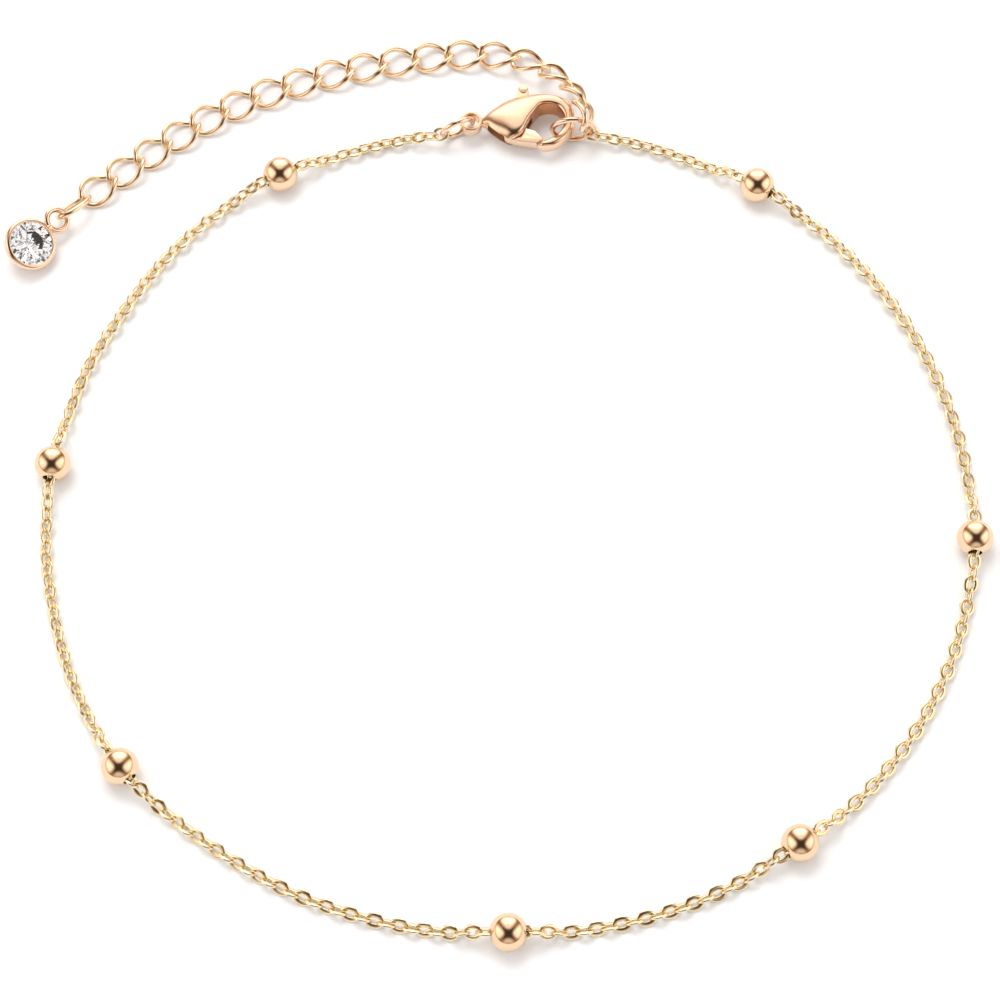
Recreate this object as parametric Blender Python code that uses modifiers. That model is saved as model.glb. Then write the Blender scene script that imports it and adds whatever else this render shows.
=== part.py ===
"""Chain anklet with round beads, a lobster clasp and an extension with a set stone.

It lies on the plane z = 0. X runs to the right, Y away from the wearer's view, Z up.
All sizes are metres.
"""
import math

import bmesh
import bpy
from mathutils import Matrix, Vector

MM = 0.001

# Running gaps between metal parts
GAP = 0.10 * MM
LINK_GAP = 0.14 * MM
RING_ROOM = 0.75 * MM

# Fine cable chain and its beads
CHAIN_DIAMETER = 1.0 * MM
BORE_GAP = 0.22 * MM
BEAD_DIAMETER = 3.0 * MM
BEAD_LEVEL = BEAD_DIAMETER / 2 + 0.3 * MM
BEAD_RISE = 3.4 * MM
TUBE_STEP = 3.0 * MM
END_LINK_LENGTH = 1.60 * MM
END_LINK_WIDTH = 1.36 * MM
END_LINK_WIRE = 0.28 * MM

# Jump rings
RING_WIRE = 0.48 * MM
EYELET_RING_DIAMETER = 3.38 * MM

# Extension chain
CURB_LENGTH = 4.01 * MM
CURB_WIDTH = 3.0 * MM
CURB_WIRE = 0.46 * MM
CURB_TWIST = 90.0
CURB_LINKS = 18
DROP_LINK_WIDTH = 2.7 * MM

# Lobster clasp: lengths of the cast body, measured from the middle of its eyelet
CLASP_REACH = 9.06 * MM
CLASP_WIDTH = 5.40 * MM
CLASP_THICKNESS = 2.30 * MM
EYELET_DIAMETER = 2.0 * MM
EYELET_HOLE = 1.28 * MM
EYELET_HEIGHT = 1.0 * MM
LEVER_THICKNESS = 0.80 * MM
PIN_DIAMETER = 0.70 * MM
TAB_DIAMETER = 0.96 * MM

# Drop
STONE_DIAMETER = 3.80 * MM
STONE_DEPTH = 1.80 * MM
SETTING_WALL = 0.26 * MM
SETTING_DEPTH = 2.00 * MM
SETTING_BACK = 1.9 * MM
BAIL_DIAMETER = 2.35 * MM
BAIL_WIRE = 0.50 * MM
BAIL_SEAT = 0.12 * MM
DROP_TURN = 51.0
DROP_ROLL = 31.0
DROP_DIP = 6.0

# Colours: base colour, metallic, roughness
ROSE_GOLD = ((0.93, 0.66, 0.42, 1.0), 1.0, 0.16)
PALE_GOLD = ((0.93, 0.77, 0.48, 1.0), 1.0, 0.18)
CLEAR_STONE = ((0.92, 0.93, 0.95, 1.0), 0.0, 0.02)

# Route of the cable chain round the loop, in millimetres: x, y, number of the bead there
LOOP_ROUTE = (
    (-8.9, 34.25, 0), (-13.6, 32.85, 0), (-19.0, 30.4, 1), (-23.7, 27.5, 0),
    (-28.3, 22.9, 0), (-32.1, 17.1, 0), (-35.0, 11.1, 0), (-36.95, 2.6, 2),
    (-37.2, -4.0, 0), (-36.2, -10.3, 0), (-34.0, -17.0, 0), (-30.0, -23.9, 3),
    (-25.8, -27.8, 0), (-20.8, -31.35, 0), (-15.6, -34.2, 0), (-10.0, -36.1, 0),
    (-4.6, -37.1, 0), (0.65, -37.4, 4), (6.4, -37.0, 0), (11.85, -35.85, 0),
    (17.3, -33.8, 0), (23.4, -30.2, 5), (27.7, -26.9, 0), (31.9, -22.3, 0),
    (35.4, -16.6, 0), (37.8, -10.1, 0), (38.8, -4.1, 6), (38.6, 2.4, 0),
    (37.3, 9.0, 0), (34.9, 15.2, 0), (31.4, 20.9, 0), (27.3, 25.5, 0),
    (22.2, 29.3, 7), (16.9, 32.1, 0), (12.2, 33.9, 0),
)

# First links of the extension, which come down from the ring: turn, rise and roll in degrees
EXTENSION_START = (
    (90.5, -23.0, 63.6), (114.6, -18.6, 55.9), (133.7, -11.2, 43.1), (152.1, -5.3, 27.1),
    (171.9, -2.7, 10.9),
)

# Route of the links that lie flat after them, in millimetres: x, y
EXTENSION_ROUTE = (
    (-4.4, 43.1), (-10.2, 42.2), (-16.0, 40.8), (-21.6, 38.7), (-26.8, 35.7), (-31.4, 32.2),
    (-35.8, 28.5),
)

# Where things hang: the clasp's eyelet, the rings on it, and places round the rings in degrees
CLASP_PLACE = (-2.52 * MM, 35.53 * MM)
EYELET_RING_SLACK = 0.15 * MM
EYELET_RING_TURN = 25.0
EYELET_RING_LEAN = 12.0
END_RING_PLACE = (0.980, -0.172)
END_RING_LEAN = 4.5
LEFT_END_ANGLE = 180.0
RIGHT_END_ANGLE = -30.0
EXTENSION_ANGLE = 62.0
HOOK_SHARE = 0.70

# The clasp's body from the eyelet over its shoulder to the hook's tip. Outer and inner edge as
# shares of the reach and the width, thickness as a share, roundness of each edge (2 is round)
CLASP_SECTIONS = (
    # outer x, outer y, inner x, inner y, thickness, outer round, inner round
    (0.085, 0.040, 0.085, -0.040, 0.30, 2.2, 2.2),
    (0.124, 0.106, 0.140, -0.080, 0.46, 2.2, 2.2),
    (0.191, 0.222, 0.212, -0.200, 0.70, 2.1, 2.2),
    (0.288, 0.344, 0.300, -0.302, 0.88, 2.1, 2.4),
    (0.375, 0.431, 0.389, -0.357, 0.98, 2.1, 3.0),
    (0.491, 0.493, 0.489, -0.248, 1.00, 2.2, 5.0),
    (0.568, 0.507, 0.543, -0.069, 1.00, 2.3, 5.0),
    (0.651, 0.506, 0.595, 0.083, 0.98, 2.5, 5.0),
    (0.725, 0.494, 0.655, 0.226, 0.95, 2.7, 5.0),
    (0.819, 0.456, 0.739, 0.272, 0.92, 2.8, 5.0),
    (0.911, 0.394, 0.822, 0.233, 0.89, 2.8, 4.0),
    (0.964, 0.317, 0.868, 0.150, 0.85, 2.8, 3.5),
    (0.990, 0.200, 0.888, 0.050, 0.80, 2.8, 3.0),
    (1.000, -0.037, 0.888, -0.060, 0.74, 2.8, 3.0),
    (0.972, -0.190, 0.872, -0.140, 0.66, 2.8, 2.8),
    (0.892, -0.361, 0.822, -0.245, 0.62, 2.8, 2.8),
    (0.800, -0.467, 0.762, -0.311, 0.60, 2.6, 2.6),
    (0.712, -0.490, 0.717, -0.354, 0.56, 2.5, 2.5),
    (0.682, -0.474, 0.700, -0.380, 0.44, 2.4, 2.4),
    (0.672, -0.450, 0.680, -0.420, 0.20, 2.2, 2.2),
)

# The lever's pivot, outline and slot as shares of the clasp's reach and width
PIVOT = (0.377, -0.215)
GATE_OUTLINE = (
    (0.331, -0.300), (0.455, -0.378), (0.628, -0.416), (0.690, -0.330),
    (0.609, -0.180), (0.543, -0.146), (0.468, -0.060),
)
TAB_PLACE = (0.504, 0.604)
SLOT_OUTLINE = (
    (0.150, -0.320), (0.165, -0.060), (0.215, 0.190), (0.193, 0.600),
    (0.590, 0.600), (0.570, 0.420), (0.562, 0.090), (0.640, 0.000),
    (0.640, -0.500), (0.150, -0.500),
)

WIRE_BEVEL_STEPS = 1
TUBE_BEVEL_STEPS = 2
RING_STEPS = 24
BAIL_STEPS = 16
WIRE_SIDES = 6
CURB_POINTS = 16
END_LINK_POINTS = 14
BEAD_SIDES = 14
TURN_STEPS = 24


def clear_scene():
    for item in list(bpy.data.objects):
        bpy.data.objects.remove(item, do_unlink=True)


def new_collection(name):
    collection = bpy.data.collections.new(name)
    bpy.context.scene.collection.children.link(collection)
    return collection


clear_scene()
PARTS = new_collection("chain_anklet")
CUTTERS = new_collection("cutters")


def material(name, look):
    """Principled material of one plain colour."""
    colour, metallic, roughness = look
    result = bpy.data.materials.new(name)
    result.use_nodes = True
    shader = result.node_tree.nodes["Principled BSDF"]
    shader.inputs["Base Color"].default_value = colour
    shader.inputs["Metallic"].default_value = metallic
    shader.inputs["Roughness"].default_value = roughness
    return result


def finish(item, look, frame=None, parent=None):
    """Give a piece its material, its place and its parent."""
    item.data.materials.clear()
    item.data.materials.append(material(item.name, look))
    item.parent = parent
    if frame is not None:
        item.matrix_world = frame
    return item


def add_object(name, data, collection=None):
    item = bpy.data.objects.new(name, data)
    (collection or PARTS).objects.link(item)
    return item


def shade_round(mesh, angle=50.0):
    mesh.shade_smooth()
    mesh.set_sharp_from_angle(angle=math.radians(angle))


def frame_from(origin, along, up):
    """Frame at a point whose X runs along one direction and whose Z leans to another."""
    x_axis = along.normalized()
    y_axis = up.cross(x_axis).normalized()
    z_axis = x_axis.cross(y_axis)
    turn = Matrix((x_axis, y_axis, z_axis)).transposed().to_4x4()
    return Matrix.Translation(origin) @ turn


def smooth_route(points, steps=16):
    """Centripetal curve through the points, sampled finely."""
    ahead = points[1] - points[0]
    behind = points[-1] - points[-2]
    chain = [points[0] - ahead] + list(points) + [points[-1] + behind]
    result = []
    for index in range(1, len(chain) - 2):
        p0, p1, p2, p3 = chain[index - 1:index + 3]
        t0 = 0.0
        t1 = t0 + (p1 - p0).length ** 0.5
        t2 = t1 + (p2 - p1).length ** 0.5
        t3 = t2 + (p3 - p2).length ** 0.5
        for step in range(steps):
            t = t1 + (t2 - t1) * step / steps
            a1 = p0 * ((t1 - t) / (t1 - t0)) + p1 * ((t - t0) / (t1 - t0))
            a2 = p1 * ((t2 - t) / (t2 - t1)) + p2 * ((t - t1) / (t2 - t1))
            a3 = p2 * ((t3 - t) / (t3 - t2)) + p3 * ((t - t2) / (t3 - t2))
            b1 = a1 * ((t2 - t) / (t2 - t0)) + a2 * ((t - t0) / (t2 - t0))
            b2 = a2 * ((t3 - t) / (t3 - t1)) + a3 * ((t - t1) / (t3 - t1))
            result.append(b1 * ((t2 - t) / (t2 - t1)) + b2 * ((t - t1) / (t2 - t1)))
    result.append(chain[-2].copy())
    return result


class Route:
    """A sampled line that can be read by its length."""

    def __init__(self, points):
        self.points = points
        self.marks = [0.0]
        for first, second in zip(points, points[1:]):
            self.marks.append(self.marks[-1] + (second - first).length)
        self.length = self.marks[-1]

    def at(self, distance):
        """Point at a distance from the start, going straight on past either end."""
        if distance <= 0.0:
            first, second = self.points[0], self.points[1]
            return first + (second - first).normalized() * distance
        if distance >= self.length:
            first, second = self.points[-2], self.points[-1]
            return second + (second - first).normalized() * (distance - self.length)
        index = 0
        while self.marks[index + 1] < distance:
            index += 1
        share = (distance - self.marks[index]) / (self.marks[index + 1] - self.marks[index])
        return self.points[index].lerp(self.points[index + 1], share)

    def nearest(self, place):
        """Distance along the line of the sample closest to a place."""
        gaps = [(point - place).length for point in self.points]
        return self.marks[gaps.index(min(gaps))]


def wire_curve(name, points, wire, cyclic, resolution=WIRE_BEVEL_STEPS):
    """Round wire along points: a poly spline with a bevel and filled caps."""
    curve = bpy.data.curves.new(name, "CURVE")
    curve.dimensions = "3D"
    curve.bevel_depth = wire / 2
    curve.bevel_resolution = resolution
    curve.use_fill_caps = not cyclic
    spline = curve.splines.new("POLY")
    spline.points.add(len(points) - 1)
    for slot, point in zip(spline.points, points):
        slot.co = (point[0], point[1], point[2], 1.0)
    spline.use_cyclic_u = cyclic
    spline.use_smooth = True
    return curve


def oval_points(length, width, wire, twist=0.0, count=CURB_POINTS):
    """Centre line of an oval link along X, its two ends turned apart by the twist."""
    half_length = (length - wire) / 2
    half_width = (width - wire) / 2
    points = []
    for index in range(count):
        angle = 2 * math.pi * index / count
        x = half_length * math.cos(angle)
        y = half_width * math.sin(angle)
        turn = -math.radians(twist) / 2 * math.cos(angle)
        points.append((x, y * math.cos(turn), y * math.sin(turn)))
    return points


def outline_mesh(name, points, thickness, hole=None):
    """Flat plate with an outline in XY, centred on z = 0, with an optional round hole."""
    curve = bpy.data.curves.new(name, "CURVE")
    curve.dimensions = "2D"
    curve.fill_mode = "BOTH"
    curve.extrude = thickness / 2
    loops = [points]
    if hole is not None:
        loops.append(hole)
    for loop in loops:
        spline = curve.splines.new("POLY")
        spline.points.add(len(loop) - 1)
        for slot, point in zip(spline.points, loop):
            slot.co = (point[0], point[1], 0.0, 1.0)
        spline.use_cyclic_u = True
    return mesh_from_curve(name, curve)


def mesh_from_curve(name, curve):
    """Mesh of a curve, with its caps welded on."""
    holder = bpy.data.objects.new(name, curve)
    bpy.context.scene.collection.objects.link(holder)
    graph = bpy.context.evaluated_depsgraph_get()
    mesh = bpy.data.meshes.new_from_object(holder.evaluated_get(graph))
    bpy.data.objects.remove(holder, do_unlink=True)
    shape = bmesh.new()
    shape.from_mesh(mesh)
    bmesh.ops.remove_doubles(shape, verts=shape.verts, dist=1e-6)
    bmesh.ops.recalc_face_normals(shape, faces=shape.faces)
    shape.to_mesh(mesh)
    shape.free()
    mesh.name = name
    return mesh


def arc(centre_x, centre_y, radius, start, end, count):
    """Points on an arc, angles in degrees."""
    points = []
    for index in range(count):
        angle = math.radians(start + (end - start) * index / (count - 1))
        points.append((centre_x + radius * math.cos(angle), centre_y + radius * math.sin(angle)))
    return points


def circle(centre_x, centre_y, radius, count):
    return arc(centre_x, centre_y, radius, 0.0, 360.0 * (count - 1) / count, count)


def turned(name, profile, steps, closed=True):
    """Turn a profile of radius and height about Z with a Screw modifier."""
    mesh = bpy.data.meshes.new(name)
    edges = [(index, index + 1) for index in range(len(profile) - 1)]
    if closed:
        edges.append((len(profile) - 1, 0))
    mesh.from_pydata([(radius, 0.0, height) for radius, height in profile], edges, [])
    holder = bpy.data.objects.new(name, mesh)
    bpy.context.scene.collection.objects.link(holder)
    screw = holder.modifiers.new("turn", "SCREW")
    screw.steps = steps
    screw.render_steps = steps
    screw.use_merge_vertices = True
    screw.merge_threshold = 1e-6
    screw.use_normal_calculate = True
    graph = bpy.context.evaluated_depsgraph_get()
    result = bpy.data.meshes.new_from_object(holder.evaluated_get(graph))
    bpy.data.objects.remove(holder, do_unlink=True)
    shape = bmesh.new()
    shape.from_mesh(result)
    bmesh.ops.remove_doubles(shape, verts=shape.verts, dist=1e-7)
    bmesh.ops.recalc_face_normals(shape, faces=shape.faces)
    shape.to_mesh(result)
    shape.free()
    result.name = name
    shade_round(result)
    return result


def use_tool(item, tool, operation):
    """Live exact Boolean with a hidden tool that moves with the piece."""
    tool.parent = item
    tool.display_type = "WIRE"
    tool.hide_render = True
    step = item.modifiers.new(tool.name, "BOOLEAN")
    step.operation = operation
    step.solver = "EXACT"
    step.object = tool


def take_primitive(name, collection=None):
    """Name the primitive just added and move it to a collection."""
    item = bpy.context.object
    item.name = name
    item.data.name = name
    for holder in list(item.users_collection):
        holder.objects.unlink(item)
    (collection or PARTS).objects.link(item)
    shade_round(item.data)
    return item


def loft(name, rings):
    """Skin a closed body over rings that hold the same number of points."""
    shape = bmesh.new()
    loops = [[shape.verts.new(point) for point in ring] for ring in rings]
    count = len(loops[0])
    for first, second in zip(loops, loops[1:]):
        for index in range(count):
            after = (index + 1) % count
            shape.faces.new((first[index], first[after], second[after], second[index]))
    shape.faces.new(list(reversed(loops[0])))
    shape.faces.new(loops[-1])
    bmesh.ops.triangulate(shape, faces=[face for face in shape.faces if len(face.verts) > 4])
    bmesh.ops.recalc_face_normals(shape, faces=shape.faces)
    mesh = bpy.data.meshes.new(name)
    shape.to_mesh(mesh)
    shape.free()
    shade_round(mesh)
    return mesh


def link_frame(start, along, up, roll):
    """Frame with X along a link, Z leaning to up, then rolled about X."""
    flat = frame_from(start, along, up)
    return flat @ Matrix.Rotation(math.radians(roll), 4, "X")


def hang_frame(wire_place, along, up, link_length, link_wire, held_wire):
    """Frame of a link's middle, whose near end loops round a wire that it holds."""
    reach = (link_length - link_wire) / 2 - (link_wire + held_wire) / 2 - LINK_GAP
    return frame_from(wire_place + along.normalized() * reach, along, up)


class JumpRing:
    """Round wire ring that stands on the floor, turned about Z and leaning towards -Y."""

    def __init__(self, radius, middle, turn, lean):
        self.radius = radius
        across = Vector((math.cos(math.radians(turn)), math.sin(math.radians(turn)), 0.0))
        front = Vector((across.y, -across.x, 0.0))
        tip = math.radians(lean)
        rise = Vector((0.0, 0.0, 1.0)) * math.cos(tip) + front * math.sin(tip)
        height = RING_WIRE / 2 + self.radius * math.cos(tip)
        self.across = across
        self.rise = rise
        self.centre = Vector((middle[0], middle[1], height))

    def place(self, angle):
        turn = math.radians(angle)
        return self.centre + (self.across * math.cos(turn) + self.rise * math.sin(turn)) * self.radius

    def tangent(self, angle):
        turn = math.radians(angle)
        return self.rise * math.cos(turn) - self.across * math.sin(turn)

    def frame(self):
        return frame_from(self.centre, self.across, self.across.cross(self.rise))


def make_ring(name, ring, parent):
    bpy.ops.mesh.primitive_torus_add(
        major_radius=ring.radius, minor_radius=RING_WIRE / 2,
        major_segments=RING_STEPS, minor_segments=WIRE_SIDES,
    )
    finish(take_primitive(name), ROSE_GOLD, ring.frame(), parent)


def clasp_point(share):
    return Vector((share[0] * CLASP_REACH, share[1] * CLASP_WIDTH, 0.0))


def clasp_height():
    """Height of the clasp's middle: its hook lies over the ring's wire."""
    return RING_WIRE + 2 * GAP + HOOK_SHARE * CLASP_THICKNESS / 2


def section_ring(row, count=14):
    """Rounded section of the clasp between its outer and inner edge."""
    outer = clasp_point(row[0:2])
    inner = clasp_point(row[2:4])
    half_height = row[4] * CLASP_THICKNESS / 2
    middle = (outer + inner) / 2
    half_width = (outer - inner) / 2
    points = []
    for index in range(count):
        angle = 2 * math.pi * (index + 0.5) / count
        side = math.cos(angle)
        top = math.sin(angle)
        power = 2.0 / (row[5] if side > 0.0 else row[6])
        across = math.copysign(abs(side) ** power, side)
        height = math.copysign(abs(top) ** power, top)
        points.append(middle + half_width * across + Vector((0.0, 0.0, half_height * height)))
    return points


def make_clasp_body(parent, frame):
    """Cast body with its eyelet, the lever's slot and the pivot pin across it."""
    body = add_object("clasp_body", loft("clasp_body", [section_ring(row) for row in CLASP_SECTIONS]))
    rim = EYELET_HEIGHT / 2
    edge = 0.22 * (EYELET_DIAMETER - EYELET_HOLE) / 2
    outer = EYELET_DIAMETER / 2
    inner = EYELET_HOLE / 2
    profile = [
        (outer - edge, rim), (outer, rim - edge), (outer, edge - rim), (outer - edge, -rim),
        (inner + edge, -rim), (inner, edge - rim), (inner, rim - edge), (inner + edge, rim),
    ]
    eyelet = add_object("eyelet", turned("eyelet", profile, TURN_STEPS), CUTTERS)
    use_tool(body, eyelet, "UNION")
    slot_height = LEVER_THICKNESS + 2 * GAP
    slot_points = [clasp_point(share) for share in SLOT_OUTLINE]
    pivot = clasp_point(PIVOT)
    pin_hole = circle(pivot.x, pivot.y, PIN_DIAMETER / 2, 12)
    slot = add_object("slot", outline_mesh("slot", slot_points, slot_height, pin_hole), CUTTERS)
    use_tool(body, slot, "DIFFERENCE")
    finish(body, ROSE_GOLD, frame, parent)


def make_clasp_lever(parent, frame):
    """Lever with its gate and thumb tab, its origin on the pivot."""
    pivot = clasp_point(PIVOT)
    boss = PIN_DIAMETER / 2 + GAP + 0.18 * MM
    outline = arc(pivot.x, pivot.y, boss, 150.0, 250.0, 6)
    outline += [tuple(clasp_point(share)[0:2]) for share in GATE_OUTLINE[1:]]
    tab = clasp_point(TAB_PLACE)
    outline += arc(tab.x, tab.y, TAB_DIAMETER / 2, -40.0, 190.0, 9)
    outline = [(x - pivot.x, y - pivot.y) for x, y in outline]
    hole = circle(0.0, 0.0, PIN_DIAMETER / 2 + GAP, 12)
    mesh = outline_mesh("clasp_lever", outline, LEVER_THICKNESS, hole)
    lever = add_object("clasp_lever", mesh)
    finish(lever, ROSE_GOLD, frame @ Matrix.Translation(pivot), parent)


def chain_line(left_end, right_end):
    """Route of the cable chain, lifted at each bead and each end, and the beads' places on it."""
    rest = CHAIN_DIAMETER / 2
    rows = [Vector((x * MM, y * MM, rest)) for x, y, bead in LOOP_ROUTE]
    ends = [Vector((end.x, end.y, rest)) for end in (left_end, right_end)]
    flat = Route(smooth_route([ends[0]] + rows + [ends[1]]))
    lifts = [(0.0, 0.0, left_end.z - rest), (flat.length, 0.0, right_end.z - rest)]
    beads = {}
    for row, point in zip(LOOP_ROUTE, rows):
        if row[2]:
            beads[row[2]] = flat.nearest(point)
            lifts.append((beads[row[2]], BEAD_LEVEL, BEAD_DIAMETER / 2 - rest))
    lifted = []
    for mark, point in zip(flat.marks, flat.points):
        height = 0.0
        for place, level, lift in lifts:
            share = min(max((abs(mark - place) - level) / BEAD_RISE, 0.0), 1.0)
            height = max(height, lift * (0.5 + 0.5 * math.cos(math.pi * share)))
        lifted.append(point + Vector((0.0, 0.0, height)))
    line = Route(lifted)
    places = {}
    for bead, mark in beads.items():
        places[bead] = line.marks[flat.marks.index(mark)]
    return line, places


def make_chain(line, places, parent):
    """Plain tube along the whole route, straight through each bead."""
    stops = [0.0]
    for mark in sorted(places.values()):
        stops += [mark - BEAD_LEVEL, mark + BEAD_LEVEL]
    stops.append(line.length)
    stations = []
    for index in range(0, len(stops), 2):
        start, end = stops[index], stops[index + 1]
        count = max(2, math.ceil((end - start) / TUBE_STEP))
        stations += [start + (end - start) * step / count for step in range(count + 1)]
    points = [line.at(station) for station in stations]
    print("chain tube points:", len(points))
    curve = wire_curve("chain", points, CHAIN_DIAMETER, False, TUBE_BEVEL_STEPS)
    return finish(add_object("chain", curve), PALE_GOLD, None, parent)


def make_beads(line, places, parent):
    """Drilled round beads, turned about their hole."""
    radius = BEAD_DIAMETER / 2
    for bead, mark in sorted(places.items()):
        along = line.at(mark + radius) - line.at(mark - radius)
        middle = (line.at(mark + radius / 2) + line.at(mark - radius / 2)) / 2
        along.z = 0.0
        middle.z = radius
        bpy.ops.mesh.primitive_uv_sphere_add(segments=BEAD_SIDES, ring_count=BEAD_SIDES - 4, radius=radius)
        item = take_primitive("bead_%d" % bead)
        bpy.ops.mesh.primitive_cylinder_add(
            vertices=12, radius=CHAIN_DIAMETER / 2 + BORE_GAP, depth=2 * BEAD_DIAMETER,
        )
        use_tool(item, take_primitive("bead_bore_%d" % bead, CUTTERS), "DIFFERENCE")
        turn = along.to_track_quat("Z", "Y").to_matrix().to_4x4()
        finish(item, ROSE_GOLD, Matrix.Translation(middle) @ turn, parent)


def make_end_link(name, ring, angle, towards, parent):
    """Cable link that holds a jump ring at the chain's end. Gives the chain's own end."""
    held = ring.place(angle)
    along = (towards - held).normalized()
    frame = hang_frame(held, along, ring.tangent(angle), END_LINK_LENGTH, END_LINK_WIRE, RING_WIRE)
    points = oval_points(END_LINK_LENGTH, END_LINK_WIDTH, END_LINK_WIRE, 0.0, END_LINK_POINTS)
    curve = wire_curve(name, points, END_LINK_WIRE, True)
    finish(add_object(name, curve), PALE_GOLD, frame, parent)
    return frame.translation + along * (END_LINK_LENGTH / 2 + GAP)


def curb_height():
    """Height of a curb link's middle when it lies flat."""
    points = oval_points(CURB_LENGTH, CURB_WIDTH, CURB_WIRE, CURB_TWIST)
    return max(point[2] for point in points) + CURB_WIRE / 2


def direction(turn, rise):
    flat = math.cos(math.radians(rise))
    side = math.radians(turn)
    return Vector((flat * math.cos(side), flat * math.sin(side), math.sin(math.radians(rise))))


def make_extension(ring, parent):
    """Curb links from the end ring along their route. Gives the last joint."""
    pitch = CURB_LENGTH - 2 * CURB_WIRE - LINK_GAP
    rest = curb_height()
    points = oval_points(CURB_LENGTH, CURB_WIDTH, CURB_WIRE, CURB_TWIST)
    curve = wire_curve("extension_link", points, CURB_WIRE, True)
    steps = []
    joint = ring.place(EXTENSION_ANGLE)
    joint -= direction(*EXTENSION_START[0][0:2]) * (RING_WIRE + 3 * LINK_GAP) / 2
    for turn, rise, roll in EXTENSION_START:
        following = joint + direction(turn, rise) * pitch
        steps.append((joint, following, roll))
        joint = following
    line = Route(smooth_route([joint] + [Vector((x * MM, y * MM, rest)) for x, y in EXTENSION_ROUTE]))
    ahead = 0.0
    while len(steps) < CURB_LINKS:
        while (line.at(ahead) - joint).length < pitch:
            ahead += 0.01 * pitch
        following = joint + (line.at(ahead) - joint).normalized() * pitch
        steps.append((joint, following, 0.0))
        joint = following
    for index, (near, far, roll) in enumerate(steps[:CURB_LINKS]):
        name = "extension_link_%02d" % (index + 1)
        frame = link_frame((near + far) / 2, far - near, Vector((0.0, 0.0, 1.0)), roll)
        finish(add_object(name, curve.copy()), ROSE_GOLD, frame, parent)
    return joint


def setting_profile():
    """Cup from the rim's inner lip down the bowl to the back, and up the stone's seat."""
    stone = STONE_DIAMETER / 2
    outer = stone + GAP + SETTING_WALL
    lip = stone - GAP
    shoulder = -0.38 * MM
    back = SETTING_BACK / 2
    sweep = math.acos(back / outer)
    fall = (SETTING_DEPTH + shoulder) / math.sin(sweep)
    bowl = []
    for index in range(1, 8):
        angle = sweep * index / 7
        bowl.append((outer * math.cos(angle), shoulder - fall * math.sin(angle)))
    rim = [
        (lip, -0.05 * MM), (lip + 0.12 * MM, 0.0), (outer - 0.14 * MM, -0.03 * MM),
        (outer - 0.04 * MM, -0.16 * MM), (outer, shoulder),
    ]
    seat = [
        (0.0, -SETTING_DEPTH), (0.0, 0.2 * MM - SETTING_DEPTH),
        (0.2 * MM, 0.2 * MM - SETTING_DEPTH), (stone + GAP, -0.45 * MM),
        (stone + GAP, -0.24 * MM), (lip, -0.14 * MM),
    ]
    return rim + bowl + seat


def make_setting():
    """Round bezel cup, open at the front, with its soldered bail ring towards +X."""
    profile = setting_profile()
    split = profile.index((0.0, -SETTING_DEPTH)) + 1
    mesh = turned("drop_setting", profile[split:] + profile[:split], TURN_STEPS, False)
    setting = add_object("drop_setting", mesh)
    middle = bail_middle()
    bpy.ops.mesh.primitive_torus_add(
        major_radius=(BAIL_DIAMETER - BAIL_WIRE) / 2, minor_radius=BAIL_WIRE / 2,
        major_segments=BAIL_STEPS, minor_segments=WIRE_SIDES, location=middle,
        rotation=(0.0, 0.0, math.pi / BAIL_STEPS),
    )
    use_tool(setting, take_primitive("bail", CUTTERS), "UNION")
    bpy.ops.mesh.primitive_cylinder_add(
        vertices=13, radius=0.6 * BAIL_WIRE, depth=1.4 * SETTING_WALL,
        location=(middle.x - BAIL_DIAMETER / 2 + BAIL_SEAT, 0.0, middle.z), rotation=(0.0, math.pi / 2, 0.0),
    )
    use_tool(setting, take_primitive("solder", CUTTERS), "UNION")
    return setting


def bail_middle():
    outer = STONE_DIAMETER / 2 + GAP + SETTING_WALL
    return Vector((outer + BAIL_DIAMETER / 2 - BAIL_SEAT, 0.0, -0.42 * MM))


def make_stone():
    """Round brilliant: table, crown, girdle and pavilion, as the hull of its corners."""
    radius = STONE_DIAMETER / 2
    girdle = -0.33 * MM
    crown = 0.25 * STONE_DEPTH
    belt = 0.028 * STONE_DEPTH
    pavilion = STONE_DEPTH - crown - belt
    shape = bmesh.new()
    rings = (
        (0.54, crown, 8, 0.5), (0.80, 0.56 * crown, 8, 0.0), (1.0, 0.0, 16, 0.0),
        (1.0, -belt, 16, 0.0), (0.28, -belt - 0.75 * pavilion, 8, 0.5),
    )
    for share, height, count, offset in rings:
        for index in range(count):
            angle = 2 * math.pi * (index + offset) / count
            x = radius * share * math.cos(angle)
            y = radius * share * math.sin(angle)
            shape.verts.new((x, y, girdle + height))
    shape.verts.new((0.0, 0.0, girdle - belt - pavilion))
    bmesh.ops.convex_hull(shape, input=shape.verts)
    bmesh.ops.recalc_face_normals(shape, faces=shape.faces)
    mesh = bpy.data.meshes.new("drop_stone")
    shape.to_mesh(mesh)
    shape.free()
    return add_object("drop_stone", mesh)


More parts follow.
